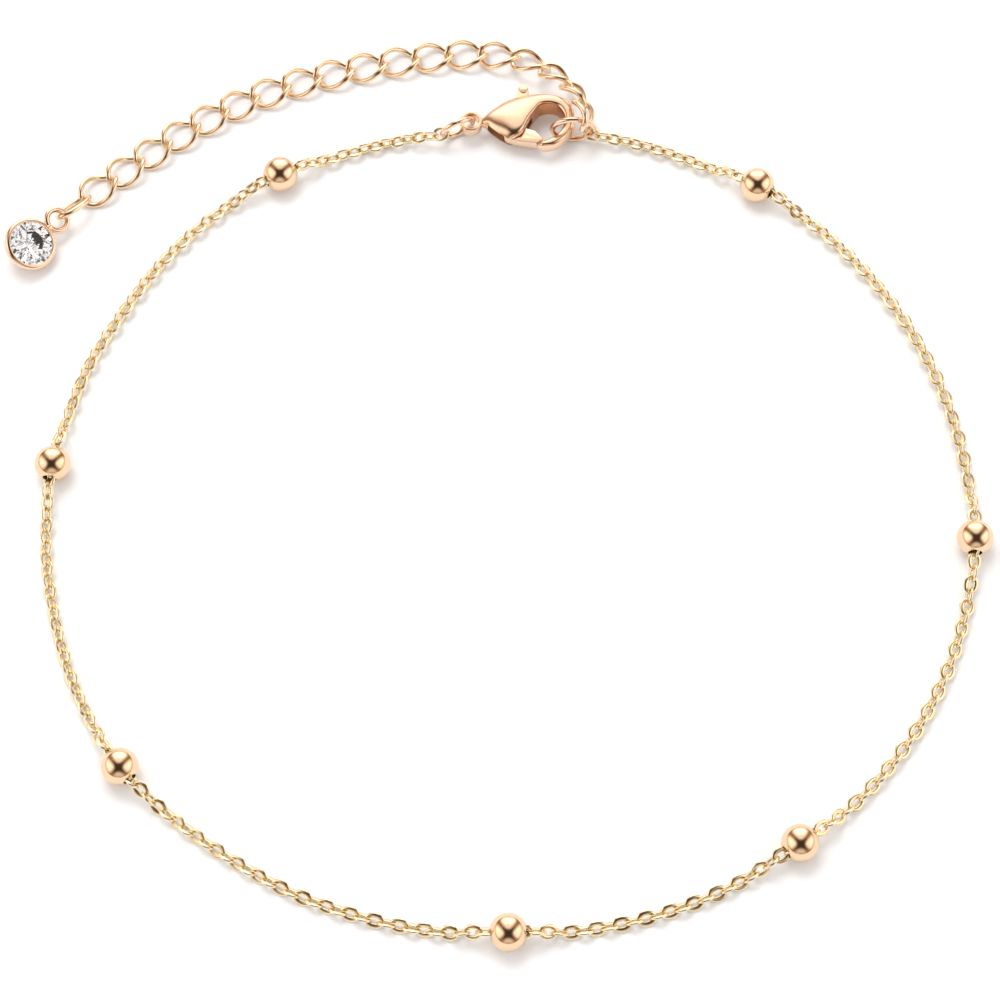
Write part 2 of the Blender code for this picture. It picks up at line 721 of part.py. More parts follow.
def make_drop(joint, parent):
    """Plain oval link, and the bezel and stone that lie on the floor at its end."""
    setting = make_setting()
    stone = make_stone()
    up = Vector((0.0, 0.0, 1.0))
    level = Vector((math.cos(math.radians(DROP_TURN)), math.sin(math.radians(DROP_TURN)), 0.0))
    dip = math.radians(DROP_DIP)
    pose = link_frame(Vector(), level * math.cos(dip) - up * math.sin(dip), up, DROP_ROLL)
    turn = pose.to_3x3()
    low = min((turn @ vertex.co).z for vertex in setting.data.vertices)
    held = turn @ (bail_middle() + Vector(((BAIL_DIAMETER - BAIL_WIRE) / 2, 0.0, 0.0)))
    reach = CURB_LENGTH - 2 * CURB_WIRE - (BAIL_WIRE + 3 * LINK_GAP) / 2
    rise = math.asin(min(max((held.z - low - joint.z) / reach, -0.9), 0.9))
    leads = up * math.sin(rise) - level * math.cos(rise)
    origin = joint + leads * reach - held
    frame = Matrix.Translation((origin.x, origin.y, -low)) @ pose
    finish(setting, ROSE_GOLD, frame, parent)
    finish(stone, CLEAR_STONE, frame, parent)
    middle = joint + leads * (CURB_LENGTH - 2 * CURB_WIRE - LINK_GAP) / 2
    points = oval_points(CURB_LENGTH, DROP_LINK_WIDTH, CURB_WIRE)
    curve = wire_curve("drop_link", points, CURB_WIRE, True)
    finish(add_object("drop_link", curve), ROSE_GOLD, link_frame(middle, leads, up, CURB_TWIST / 2), parent)


def centre_on_floor(root):
    """Move the root so that the middle of the whole anklet's base is the origin."""
    graph = bpy.context.evaluated_depsgraph_get()
    corners = []
    for item in PARTS.objects:
        if item.type == "EMPTY":
            continue
        mesh = item.evaluated_get(graph).to_mesh()
        corners += [item.matrix_world @ vertex.co for vertex in mesh.vertices]
        item.evaluated_get(graph).to_mesh_clear()
    low = Vector([min(corner[axis] for corner in corners) for axis in range(3)])
    high = Vector([max(corner[axis] for corner in corners) for axis in range(3)])
    root.location = (-(low.x + high.x) / 2, -(low.y + high.y) / 2, -low.z)
    print("root moved by", [round(value / MM, 4) for value in root.location])


def main():
    root = add_object("anklet", None)
    clasp_place = Vector((CLASP_PLACE[0], CLASP_PLACE[1], clasp_height()))
    clasp_frame = Matrix.Translation(clasp_place)
    make_clasp_body(root, clasp_frame)
    make_clasp_lever(root, clasp_frame)
    end_radius = HOOK_SHARE * CLASP_THICKNESS / 2 + RING_ROOM + RING_WIRE / 2
    end_ring = JumpRing(end_radius, clasp_place + clasp_point(END_RING_PLACE), 0.0, END_RING_LEAN)
    eyelet_radius = (EYELET_RING_DIAMETER - RING_WIRE) / 2
    turn = math.radians(EYELET_RING_TURN)
    back = Vector((math.cos(turn), math.sin(turn), 0.0)) * (eyelet_radius - EYELET_RING_SLACK)
    eyelet_ring = JumpRing(eyelet_radius, clasp_place - back, EYELET_RING_TURN, EYELET_RING_LEAN)
    make_ring("end_jump_ring", end_ring, root)
    make_ring("clasp_jump_ring", eyelet_ring, root)
    rest = CHAIN_DIAMETER / 2
    first = Vector((LOOP_ROUTE[0][0] * MM, LOOP_ROUTE[0][1] * MM, rest))
    last = Vector((LOOP_ROUTE[-1][0] * MM, LOOP_ROUTE[-1][1] * MM, rest))
    left = make_end_link("chain_end_link_left", eyelet_ring, LEFT_END_ANGLE, first, root)
    right = make_end_link("chain_end_link_right", end_ring, RIGHT_END_ANGLE, last, root)
    line, places = chain_line(left, right)
    make_chain(line, places, root)
    make_beads(line, places, root)
    make_drop(make_extension(end_ring, root), root)
    bpy.context.view_layer.update()
    centre_on_floor(root)


main()
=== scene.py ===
# %% [markdown]
# # A chain anklet, dressed
#
# The anklet is a fine cable chain with seven plain round beads, a small lobster clasp, and an
# extension of curb links that ends in a bezel with a clear stone. Its solids come ready packed,
# with the right sizes and places. This lesson gives every one of them the finer shape and the
# finish that a jeweller's bench would leave, and then lights it as a product is lit.

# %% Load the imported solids
import math

import bmesh
import bpy
import numpy as np
from mathutils import Matrix, Vector


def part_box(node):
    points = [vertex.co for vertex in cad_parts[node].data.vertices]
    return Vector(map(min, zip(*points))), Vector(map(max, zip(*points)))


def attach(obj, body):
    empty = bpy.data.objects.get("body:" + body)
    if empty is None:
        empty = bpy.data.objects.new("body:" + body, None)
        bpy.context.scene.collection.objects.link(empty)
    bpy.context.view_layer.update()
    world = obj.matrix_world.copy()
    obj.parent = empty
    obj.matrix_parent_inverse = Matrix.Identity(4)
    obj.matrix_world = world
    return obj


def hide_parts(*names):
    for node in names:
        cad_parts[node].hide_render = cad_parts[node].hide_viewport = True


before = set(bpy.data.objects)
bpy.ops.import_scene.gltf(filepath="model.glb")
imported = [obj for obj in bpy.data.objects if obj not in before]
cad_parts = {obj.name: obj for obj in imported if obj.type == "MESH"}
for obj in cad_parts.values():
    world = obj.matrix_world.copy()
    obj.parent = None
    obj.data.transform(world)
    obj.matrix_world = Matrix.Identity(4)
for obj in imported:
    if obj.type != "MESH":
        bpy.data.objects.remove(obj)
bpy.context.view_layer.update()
MM = 0.001

# %% [markdown]
# ## Where things are
#
# The solids were laid out in the view of a camera that looks at the middle of the floor, and were
# then moved so that the middle of their base is the origin. `SHIFT` is that move.

# %% The frame's shift
SHIFT = Vector((1.0012, -2.8921, 0.0001)) * MM
UP = Vector((0.0, 0.0, 1.0))

# %% [markdown]
# ## Gold plate
#
# Plated brass is a mirror with a faint skin: it is a little softer where fingers and tumbling have
# rubbed it, a little paler on its raised places, and it carries very fine hairlines. Every gold
# part needs the same three things, a colour, a roughness and a normal, so one node group gives
# them out, and each material sets its own amounts. Walls deep inside a hole, a slot or the hook
# mirror only more gold and get little light, so shade and a reddish reflection are painted on them:
# dark brown gold in the holes and the slot, and dark copper inside the hook.

# %% Node helpers
def set_inputs(node, inputs):
    """Give each input a value, or link it to another node's output."""
    for key, value in inputs.items():
        if isinstance(value, bpy.types.NodeSocket):
            node.id_data.links.new(value, node.inputs[key])
        else:
            node.inputs[key].default_value = value


def add_node(tree, kind, place, inputs=None, **properties):
    """A new node with its properties and inputs set."""
    node = tree.nodes.new(kind)
    node.location = place
    for key, value in properties.items():
        setattr(node, key, value)
    set_inputs(node, inputs or {})
    return node


def add_sockets(tree, wanted):
    """The inputs and outputs of a node group."""
    for name, side, kind, value in wanted:
        socket = tree.interface.new_socket(name=name, in_out=side, socket_type=kind)
        if value is not None:
            socket.default_value = value


# %% The plate effect
def plate_effect():
    """Tone, roughness and hairlines of polished plate."""
    tree = bpy.data.node_groups.new("plate_effect", "ShaderNodeTree")
    add_sockets(tree, (
        ("Tone", "INPUT", "NodeSocketColor", (0.9, 0.65, 0.4, 1.0)),
        ("Pale tone", "INPUT", "NodeSocketColor", (1.0, 0.8, 0.6, 1.0)),
        ("Roughness", "INPUT", "NodeSocketFloat", 0.12),
        ("Hairlines", "INPUT", "NodeSocketFloat", 0.1),
        ("Grain size", "INPUT", "NodeSocketFloat", 900.0),
        ("Colour", "OUTPUT", "NodeSocketColor", None),
        ("Roughness", "OUTPUT", "NodeSocketFloat", None),
        ("Normal", "OUTPUT", "NodeSocketVector", None),
    ))
    given = add_node(tree, "NodeGroupInput", (-900, 0)).outputs
    place = add_node(tree, "ShaderNodeTexCoord", (-900, -260)).outputs["Object"]
    raised = add_node(tree, "ShaderNodeNewGeometry", (-430, 360)).outputs["Pointiness"]
    cloud = add_node(tree, "ShaderNodeTexNoise", (-650, 120), {
        "Vector": place, "Scale": given["Grain size"], "Detail": 3.0,
    }).outputs["Fac"]
    stretch = add_node(tree, "ShaderNodeMapping", (-650, -260), {
        "Vector": place, "Scale": (1.0, 9.0, 3.0), "Rotation": (0.3, 0.2, 0.7),
    })
    lines = add_node(tree, "ShaderNodeTexNoise", (-430, -260), {
        "Vector": stretch.outputs["Vector"], "Scale": 2600.0, "Detail": 4.0,
    })
    edge = add_node(tree, "ShaderNodeMapRange", (-230, 360), {
        "Value": raised, "From Min": 0.5, "From Max": 0.62,
    })
    patch = add_node(tree, "ShaderNodeMapRange", (-430, 120), {
        "Value": cloud, "From Min": 0.35, "From Max": 0.75, "To Max": 0.4,
    })
    both = add_node(tree, "ShaderNodeMath", (-30, 250), {
        0: edge.outputs["Result"], 1: patch.outputs["Result"],
    }, operation="MAXIMUM")
    tone = add_node(tree, "ShaderNodeMix", (180, 200), {
        "Factor": both.outputs["Value"], "A": given["Tone"], "B": given["Pale tone"],
    }, data_type="RGBA")
    spread = add_node(tree, "ShaderNodeMath", (-30, -20), {
        0: cloud, 1: 0.10, 2: given["Roughness"],
    }, operation="MULTIPLY_ADD")
    bump = add_node(tree, "ShaderNodeBump", (180, -220), {
        "Height": lines.outputs["Fac"], "Strength": given["Hairlines"], "Distance": 0.01 * MM,
    })
    add_node(tree, "NodeGroupOutput", (700, 0), {
        "Colour": tone.outputs["Result"], "Roughness": spread.outputs["Value"],
        "Normal": bump.outputs["Normal"],
    })
    return tree


PLATE = plate_effect()
print("plate effect has", len(PLATE.nodes), "nodes")


# %% Materials
def new_material(name, inputs):
    """A material, its tree and its shader."""
    result = bpy.data.materials.new(name)
    result.use_nodes = True
    shader = result.node_tree.nodes["Principled BSDF"]
    set_inputs(shader, inputs)
    return result, result.node_tree, shader


def cloudy_tone(tree, shader, scale, low, high):
    """Let the base colour drift between two tones."""
    cloud = add_node(tree, "ShaderNodeTexNoise", (-500, 0), {"Scale": scale}).outputs["Fac"]
    tint = add_node(tree, "ShaderNodeValToRGB", (-300, 0), {"Fac": cloud})
    for stop, tone in zip(tint.color_ramp.elements, (low, high)):
        stop.color = (*tone, 1.0)
    set_inputs(shader, {"Base Color": tint.outputs["Color"]})
    return cloud


def gold(name, tone, pale, roughness, hairlines, grain=900.0):
    """Polished plate in one tone."""
    result, tree, shader = new_material(name, {"Metallic": 1.0})
    effect = add_node(tree, "ShaderNodeGroup", (-300, 0), {
        "Tone": (*tone, 1.0), "Pale tone": (*pale, 1.0), "Roughness": roughness,
        "Hairlines": hairlines, "Grain size": grain,
    }, node_tree=PLATE).outputs
    set_inputs(shader, {
        "Base Color": effect["Colour"], "Roughness": effect["Roughness"], "Normal": effect["Normal"],
    })
    return result


ROSE_PLATE = gold("rose_plate", (0.87, 0.63, 0.45), (0.94, 0.75, 0.58), 0.07, 0.10)
BEAD_PLATE = gold("bead_plate", (0.86, 0.635, 0.42), (0.90, 0.69, 0.49), 0.02, 0.03, 500.0)
CAST_PLATE = gold("cast_plate", (0.84, 0.58, 0.40), (0.92, 0.71, 0.54), 0.11, 0.14)
CURB_PLATE = gold("curb_plate", (0.86, 0.64, 0.42), (0.95, 0.79, 0.60), 0.08, 0.12, 700.0)
CHAIN_PLATE = gold("chain_plate", (0.86, 0.70, 0.43), (0.98, 0.89, 0.68), 0.12, 0.10, 700.0)
# Painted shade: dark brown gold for walls inside holes and the slot, where shade falls.
PAINTED_SHADE_PLATE = gold("painted_shade_plate", (0.42, 0.25, 0.13), (0.55, 0.35, 0.20), 0.32, 0.20, 700.0)
# Painted reflection: dark copper for the wall inside the hook, where the gold mirrors more gold.
PAINTED_REFLECTION_PLATE = gold("painted_reflection_plate", (0.66, 0.30, 0.14), (0.92, 0.56, 0.34), 0.17, 0.35, 260.0)
SATIN_PLATE = gold("satin_plate", (0.84, 0.60, 0.40), (0.90, 0.68, 0.48), 0.38, 0.20, 700.0)
print("gold finishes:", [item.name for item in bpy.data.materials if item.name.endswith("plate")])

# %% [markdown]
# ## The stone's own look
#
# A clear cut stone is a solid of glass with flat faces. Its sparkle is made by light that goes in
# at the crown, bounces off the back facets and comes out again, so it needs real facets and a
# smooth surface. Glass alone would let much of the light out at the back. A stone in a closed
# bezel has silver foil there, so the back facets get a material of metal and the front ones one of
# glass. A trace of grey keeps the white floor from washing it out.

# %% Stone and foil
def clear_stone():
    """Glass with a trace of grey and of wear."""
    glass = {"Metallic": 0.0, "Transmission Weight": 1.0, "IOR": 1.62}
    result, tree, shader = new_material("clear_stone", glass)
    cloud = cloudy_tone(tree, shader, 600.0, (0.90, 0.92, 0.95), (0.99, 0.99, 1.0))
    rub = add_node(tree, "ShaderNodeMapRange", (-300, -240), {"Value": cloud, "To Max": 0.012})
    set_inputs(shader, {"Roughness": rub.outputs["Result"]})
    return result


def foil_back():
    """Silver foil on the back facets, slightly uneven in tone."""
    result, tree, shader = new_material("foil_back", {"Metallic": 1.0, "Roughness": 0.01})
    cloudy_tone(tree, shader, 900.0, (0.90, 0.87, 0.86), (0.98, 0.965, 0.95))
    return result


STONE, FOIL = clear_stone(), foil_back()
print("stone materials:", STONE.name, FOIL.name)

# %% [markdown]
# ## Making wire
#
# Nearly everything here is bent wire. A poly curve with a round bevel is the quickest honest wire:
# it is swept along the points without twisting, and turning it into a mesh lets us repeat it, join
# it and cut it. The small helpers below also place a piece, hide the solid that it stands for, and
# say which finish it takes.

# %% Objects and meshes
def add_object(name, data):
    """An object in the scene."""
    item = bpy.data.objects.new(name, data)
    bpy.context.scene.collection.objects.link(item)
    return item


def final_mesh(item):
    """The mesh that an object's modifiers give; the object is removed."""
    graph = bpy.context.evaluated_depsgraph_get()
    mesh = bpy.data.meshes.new_from_object(item.evaluated_get(graph))
    bpy.data.objects.remove(item, do_unlink=True)
    return mesh


def mesh_of(name, shape):
    """The mesh of a closed shape, with its faces turned outwards."""
    bmesh.ops.recalc_face_normals(shape, faces=shape.faces)
    if shape.calc_volume(signed=True) < 0.0:
        bmesh.ops.reverse_faces(shape, faces=shape.faces)
    mesh = bpy.data.meshes.new(name)
    shape.to_mesh(mesh)
    shape.free()
    return mesh


def smooth(mesh, sharp):
    """Shade smooth, but for edges sharper than an angle in degrees."""
    mesh.shade_smooth()
    mesh.set_sharp_from_angle(angle=math.radians(sharp))
    return mesh


def full_turn(count, offset=0.0):
    """Even angles round a full turn."""
    return [2 * math.pi * (index + offset) / count for index in range(count)]


# %% Wire and frames
WELD_DISTANCE = 1e-7


def curve_mesh(name, curve):
    """Turn a curve into a closed mesh."""
    mesh = final_mesh(add_object(name, curve))
    shape = bmesh.new()
    shape.from_mesh(mesh)
    bmesh.ops.remove_doubles(shape, verts=shape.verts, dist=WELD_DISTANCE)
    bmesh.ops.recalc_face_normals(shape, faces=shape.faces)
    shape.to_mesh(mesh)
    shape.free()
    mesh.name = name
    return mesh


def add_spline(curve, points, cyclic=True):
    """Straight pieces through points of two or three numbers."""
    spline = curve.splines.new("POLY")
    spline.points.add(len(points) - 1)
    for slot, point in zip(spline.points, points):
        slot.co = (*point, 0.0)[0:3] + (1.0,)
    spline.use_cyclic_u = cyclic


def wire_mesh(name, points, wire, cyclic=True, sides=5):
    """Round wire along points; sides is the bevel's resolution."""
    curve = bpy.data.curves.new(name, "CURVE")
    curve.dimensions = "3D"
    curve.bevel_depth = wire / 2
    curve.bevel_resolution = sides
    curve.use_fill_caps = not cyclic
    add_spline(curve, points, cyclic)
    return smooth(curve_mesh(name, curve), 50.0)


def frame_from(origin, along, up):
    """X runs along, Z leans to up."""
    x_axis = along.normalized()
    y_axis = up.cross(x_axis).normalized()
    turn = Matrix((x_axis, y_axis, x_axis.cross(y_axis))).transposed().to_4x4()
    return Matrix.Translation(origin) @ turn


def link_frame(middle, along, roll):
    """X runs along the chain, and the link is rolled about it."""
    return frame_from(middle, along, UP) @ Matrix.Rotation(math.radians(roll), 4, "X")


def direction(turn, rise):
    """Unit vector turned about Z and lifted from the floor, both in degrees."""
    side = math.radians(turn)
    tip = math.radians(rise)
    return Vector((math.cos(tip) * math.cos(side), math.cos(tip) * math.sin(side), math.sin(tip)))


def oval_points(length, width, wire, twist=0.0, count=56):
    """Centre line of a link along X, its ends turned apart by the twist."""
    points = []
    for angle in full_turn(count):
        across = (width - wire) / 2 * math.sin(angle)
        turn = -math.radians(twist) / 2 * math.cos(angle)
        x = (length - wire) / 2 * math.cos(angle)
        points.append(Vector((x, across * math.cos(turn), across * math.sin(turn))))
    return points


# %% Placing a piece
def dress(name, mesh, place, node, finish, body="anklet"):
    """Show a finer piece in place of a solid."""
    mesh.transform(Matrix.Translation(SHIFT) @ place)
    mesh.materials.clear()
    mesh.materials.append(finish)
    piece = add_object(name, mesh)
    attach(piece, body)
    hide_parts(node)
    return piece


def mm(*values):
    """A place given in millimetres."""
    return Vector(values) * MM


print("wire tools ready")

# %% [markdown]
# ## The clasp's two jump rings
#
# A jump ring is a turn of wire with its ends butted together, and the fine line where they meet
# shows. So each is swept along a little less than a full turn. One holds the clasp's eyelet, and
# the other is what the hook closes on.

# %% Jump rings
RING_WIRE = 0.48 * MM
CLASP_MIDDLE = mm(-2.52, 35.53, 1.485)


class JumpRing:
    """A ring that stands on the floor, turned about Z and leaning to the front."""

    def __init__(self, radius, middle, turn, lean):
        self.radius = radius
        self.across = direction(turn, 0.0)
        front = Vector((self.across.y, -self.across.x, 0.0))
        tip = math.radians(lean)
        self.rise = UP * math.cos(tip) + front * math.sin(tip)
        self.centre = Vector((middle.x, middle.y, RING_WIRE / 2 + radius * math.cos(tip)))

    def place(self, angle):
        turn = math.radians(angle)
        return self.centre + (self.across * math.cos(turn) + self.rise * math.sin(turn)) * self.radius

    def tangent(self, angle):
        turn = math.radians(angle)
        return self.rise * math.cos(turn) - self.across * math.sin(turn)

    def points(self, seam, gap=1.0, count=72):
        return [self.place(seam + gap + (360.0 - 2 * gap) * step / (count - 1)) for step in range(count)]


END_RING = JumpRing(1.795 * MM, CLASP_MIDDLE + mm(8.8788, -0.9288, 0.0), 0.0, 4.5)
EYELET_RING = JumpRing(1.45 * MM, CLASP_MIDDLE - direction(25.0, 0.0) * 1.30 * MM, 25.0, 12.0)
for name, ring, seam in (("end_jump_ring", END_RING, 78.0), ("clasp_jump_ring", EYELET_RING, 96.0)):
    mesh = wire_mesh(name, ring.points(seam), RING_WIRE, False, 7)
    dress("wire_" + name, mesh, Matrix(), name, ROSE_PLATE)
    print(name, "outer diameter", round((2 * ring.radius + RING_WIRE) / MM, 2), "mm")

# %% [markdown]
# ## The cable chain
#
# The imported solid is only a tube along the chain's route. The real chain is a row of small oval
# links of flattened wire, broad along the sides and narrow at the ends, each turned a quarter turn
# from the last. The row also leans over where it lies. On the left every link leans about halfway,
# so it looks like a rope, and on the right flat links and upright ones take turns. One link is
# made once. Its copies are placed along the same route by length, so that the spacing never
# drifts, and go into a single mesh. A row of the route holds X and Y in millimetres and the number
# of the bead there, or 0.

# %% Route of the chain
LOOP_ROUTE = (
    (-8.9, 34.25, 0), (-13.6, 32.85, 0), (-19.0, 30.4, 1), (-23.7, 27.5, 0),
    (-28.3, 22.9, 0), (-32.1, 17.1, 0), (-35.0, 11.1, 0), (-36.95, 2.6, 2),
    (-37.2, -4.0, 0), (-36.2, -10.3, 0), (-34.0, -17.0, 0), (-30.0, -23.9, 3),
    (-25.8, -27.8, 0), (-20.8, -31.35, 0), (-15.6, -34.2, 0), (-10.0, -36.1, 0),
    (-4.6, -37.1, 0), (0.65, -37.4, 4), (6.4, -37.0, 0), (11.85, -35.85, 0),
    (17.3, -33.8, 0), (23.4, -30.2, 5), (27.7, -26.9, 0), (31.9, -22.3, 0),
    (35.4, -16.6, 0), (37.8, -10.1, 0), (38.8, -4.1, 6), (38.6, 2.4, 0),
    (37.3, 9.0, 0), (34.9, 15.2, 0), (31.4, 20.9, 0), (27.3, 25.5, 0),
    (22.2, 29.3, 7), (16.9, 32.1, 0), (12.2, 33.9, 0),
)
CHAIN_REST = 0.5 * MM
BEAD_DIAMETER = 3.0 * MM
BEAD_LEVEL = 1.8 * MM
BEAD_RISE = 3.4 * MM
END_LINK = (1.60 * MM, 1.36 * MM, 0.28 * MM)
LINK_GAP = 0.14 * MM
END_GAP = 0.10 * MM


def smooth_route(points, steps=16):
    """Centripetal curve through the points."""
    chain = [points[0] * 2 - points[1]] + list(points) + [points[-1] * 2 - points[-2]]
    result = []
    for index in range(1, len(chain) - 2):
        p0, p1, p2, p3 = chain[index - 1:index + 3]
        t1 = (p1 - p0).length ** 0.5
        t2 = t1 + (p2 - p1).length ** 0.5
        t3 = t2 + (p3 - p2).length ** 0.5
        for step in range(steps):
            t = t1 + (t2 - t1) * step / steps
            a1 = p0.lerp(p1, t / t1)
            a2 = p1.lerp(p2, (t - t1) / (t2 - t1))
            a3 = p2.lerp(p3, (t - t2) / (t3 - t2))
            b1 = a1.lerp(a2, t / t2)
            b2 = a2.lerp(a3, (t - t1) / (t3 - t1))
            result.append(b1.lerp(b2, (t - t1) / (t2 - t1)))
    return result + [chain[-2].copy()]


class Route:
    """A line that can be read by its length."""

    def __init__(self, points):
        self.points = points
        self.marks = [0.0]
        for first, second in zip(points, points[1:]):
            self.marks.append(self.marks[-1] + (second - first).length)
        self.length = self.marks[-1]

    def at(self, distance):
        index = int(np.clip(np.searchsorted(self.marks, distance) - 1, 0, len(self.points) - 2))
        first, second = self.points[index], self.points[index + 1]
        return first + (second - first).normalized() * (distance - self.marks[index])

    def nearest(self, place):
        gaps = [(point - place).length for point in self.points]
        return gaps.index(min(gaps))


# %% End links
def end_link(name, ring, angle, towards):
    """The link at the chain's end, which holds a jump ring."""
    length, width, wire = END_LINK
    held = ring.place(angle)
    along = (towards - held).normalized()
    reach = (length - wire) / 2 - (wire + RING_WIRE) / 2 - LINK_GAP
    place = frame_from(held + along * reach, along, ring.tangent(angle))
    mesh = wire_mesh(name, oval_points(length, width, wire, 0.0, 40), wire)
    dress("wire_" + name, mesh, place, name, CHAIN_PLATE)
    return place.translation + along * (length / 2 + END_GAP)


FLAT_ROWS = [mm(x, y, CHAIN_REST / MM) for x, y, bead in LOOP_ROUTE]
LEFT_END = end_link("chain_end_link_left", EYELET_RING, 180.0, FLAT_ROWS[0])
RIGHT_END = end_link("chain_end_link_right", END_RING, -30.0, FLAT_ROWS[-1])
print("chain runs from", LEFT_END / MM, "to", RIGHT_END / MM)

# %% Height of the chain along its route
def at_rest(place):
    return Vector((place.x, place.y, CHAIN_REST))


FLAT = Route(smooth_route([at_rest(LEFT_END)] + FLAT_ROWS + [at_rest(RIGHT_END)]))
LIFTS = [(0.0, 0.0, LEFT_END.z - CHAIN_REST), (FLAT.length, 0.0, RIGHT_END.z - CHAIN_REST)]
BEAD_SAMPLES = [FLAT.nearest(point) for row, point in zip(LOOP_ROUTE, FLAT_ROWS) if row[2]]
LIFTS += [(FLAT.marks[sample], BEAD_LEVEL, BEAD_DIAMETER / 2 - CHAIN_REST) for sample in BEAD_SAMPLES]


def lift_at(mark):
    """How far the chain is lifted at its ends and where it enters a bead."""
    heights = []
    for place, level, lift in LIFTS:
        share = min(max((abs(mark - place) - level) / BEAD_RISE, 0.0), 1.0)
        heights.append(lift * (0.5 + 0.5 * math.cos(math.pi * share)))
    return max(heights)


LINE = Route([point + UP * lift_at(mark) for mark, point in zip(FLAT.marks, FLAT.points)])
print("chain length", round(LINE.length / MM, 1), "mm")

# %% A link of the chain
CABLE_LINK = (1.63 * MM, 1.34 * MM, 0.32 * MM, 0.43 * MM, 0.22 * MM)
WIRE_SQUARENESS = 0.6


def squared(value):
    """Cosine or sine of a round section, pushed towards a box."""
    return math.copysign(abs(value) ** WIRE_SQUARENESS, value)


def flat_link(name, length, width, end_band, side_band, thickness, count=20, sides=10):
    """An oval link of flattened wire, broader along its sides than at its ends."""
    section = []
    for angle in full_turn(sides, 0.5):
        section.append((squared(math.cos(angle)) / 2, squared(math.sin(angle)) * thickness / 2))
    points = []
    for angle in full_turn(count):
        band = end_band + (side_band - end_band) * math.sin(angle) ** 2
        long_half, wide_half = (length - band) / 2, (width - band) / 2
        outward = Vector((wide_half * math.cos(angle), long_half * math.sin(angle), 0.0)).normalized()
        middle = Vector((long_half * math.cos(angle), wide_half * math.sin(angle), 0.0))
        points += [middle + outward * across * band + UP * height for across, height in section]
    faces = []
    for step in range(count):
        first, second = step * sides, (step + 1) % count * sides
        for index in range(sides):
            after = (index + 1) % sides
            faces.append((first + index, second + index, second + after, first + after))
    mesh = bpy.data.meshes.new(name)
    mesh.from_pydata(points, [], faces)
    return mesh


LINK_SOURCE = flat_link("cable_link", *CABLE_LINK)
print("one cable link has", len(LINK_SOURCE.polygons), "faces")


# %% Copies of the link
def repeat_mesh(name, source, places):
    """Many copies of a mesh in one mesh."""
    count = len(source.vertices)
    corners = np.empty(count * 3)
    source.vertices.foreach_get("co", corners)
    corners = corners.reshape(-1, 3)
    faces = [tuple(face.vertices) for face in source.polygons]
    points = []
    polygons = []
    for index, place in enumerate(places):
        turn = np.array(place.to_3x3())
        points.append(corners @ turn.T + np.array(place.translation))
        polygons += [tuple(vertex + index * count for vertex in face) for face in faces]
    mesh = bpy.data.meshes.new(name)
    mesh.from_pydata(np.concatenate(points).tolist(), [], polygons)
    mesh.shade_smooth()
    return mesh


CABLE_PITCH = 0.985 * MM
HOOK_IN = 0.10 * MM
LEAN, LEAN_SWING = 28.0, 16.0
STEEPEST_LINK = 95
STRAIGHT_LINKS = 10
WANDER, WANDER_RATE = 5.0, 0.9


def chain_places():
    """Frames of the links: a quarter turn apart, with a lean that changes slowly along the chain."""
    gaps = round((LINE.length - 2 * HOOK_IN) / CABLE_PITCH)
    pitch = (LINE.length - 2 * HOOK_IN) / gaps
    places = []
    for index in range(gaps + 1):
        mark = HOOK_IN + pitch * index
        ends = min(min(index, gaps - index) / STRAIGHT_LINKS, 1.0)
        lean = (LEAN + LEAN_SWING * math.cos(2 * math.pi * (index - STEEPEST_LINK) / gaps)) * ends
        rest = min(max(2.0 - LINE.at(mark).z / CHAIN_REST, 0.0), 1.0)
        lift = max(CABLE_LINK[1] / 2 * math.cos(math.radians(lean)) - CHAIN_REST, 0.0) * rest
        if index > gaps / 2 and gaps % 2:
            lean = 90.0 - lean
        wander = WANDER * math.sin(WANDER_RATE * index) * ends
        along = LINE.at(mark + pitch / 2) - LINE.at(mark - pitch / 2)
        middle = LINE.at(mark) + UP * lift
        places.append(link_frame(middle, along, 90.0 * ((index + 1) % 2) + lean + wander))
    return places


CHAIN_PLACES = chain_places()
dress("cable_links", repeat_mesh("cable_links", LINK_SOURCE, CHAIN_PLACES), Matrix(), "chain", CHAIN_PLATE)
print("cable links:", len(CHAIN_PLACES))

# %% [markdown]
# ## The beads
#
# Each bead is a hollow ball with a hole right through, and the metal is turned in a little around
# the hole. A half profile turned about its axis gives a cleaner ball than a cut sphere, because
# the rings of faces run round the hole. They are the brightest things here, so their faces are
# fine and their finish is the smoothest. Only the walls inside the hole are dark: they get a painted shade.

# %% Turning a profile
TINY = 1e-9


def turned(name, profile, steps=96, sharp=40.0):
    """Turn a closed profile of (radius, height) about Z."""
    shape = bmesh.new()
    rings = []
    for radius, height in profile:
        if radius < TINY:
            rings.append([shape.verts.new((0.0, 0.0, height))] * steps)
            continue
        rings.append([
            shape.verts.new((radius * math.cos(angle), radius * math.sin(angle), height))
            for angle in full_turn(steps)
        ])
    pairs = list(zip(rings, rings[1:]))
    if profile[0][0] > TINY and profile[-1][0] > TINY:
        pairs.append((rings[-1], rings[0]))
    for first, second in pairs:
        for step in range(steps):
            after = (step + 1) % steps
            corners = [first[step], first[after], second[after], second[step]]
            unique = list(dict.fromkeys(corners))
            if len(unique) > 2:
                shape.faces.new(unique)
    return smooth(mesh_of(name, shape), sharp)


def arc(x, y, radius, start, end, count):
    """Points of an arc between two angles in degrees."""
    angles = [math.radians(start + (end - start) * step / (count - 1)) for step in range(count)]
    return [(x + radius * math.cos(angle), y + radius * math.sin(angle)) for angle in angles]


# %% Beads
BEAD_RADIUS = BEAD_DIAMETER / 2
OUTSIDE_SHARE = 0.94


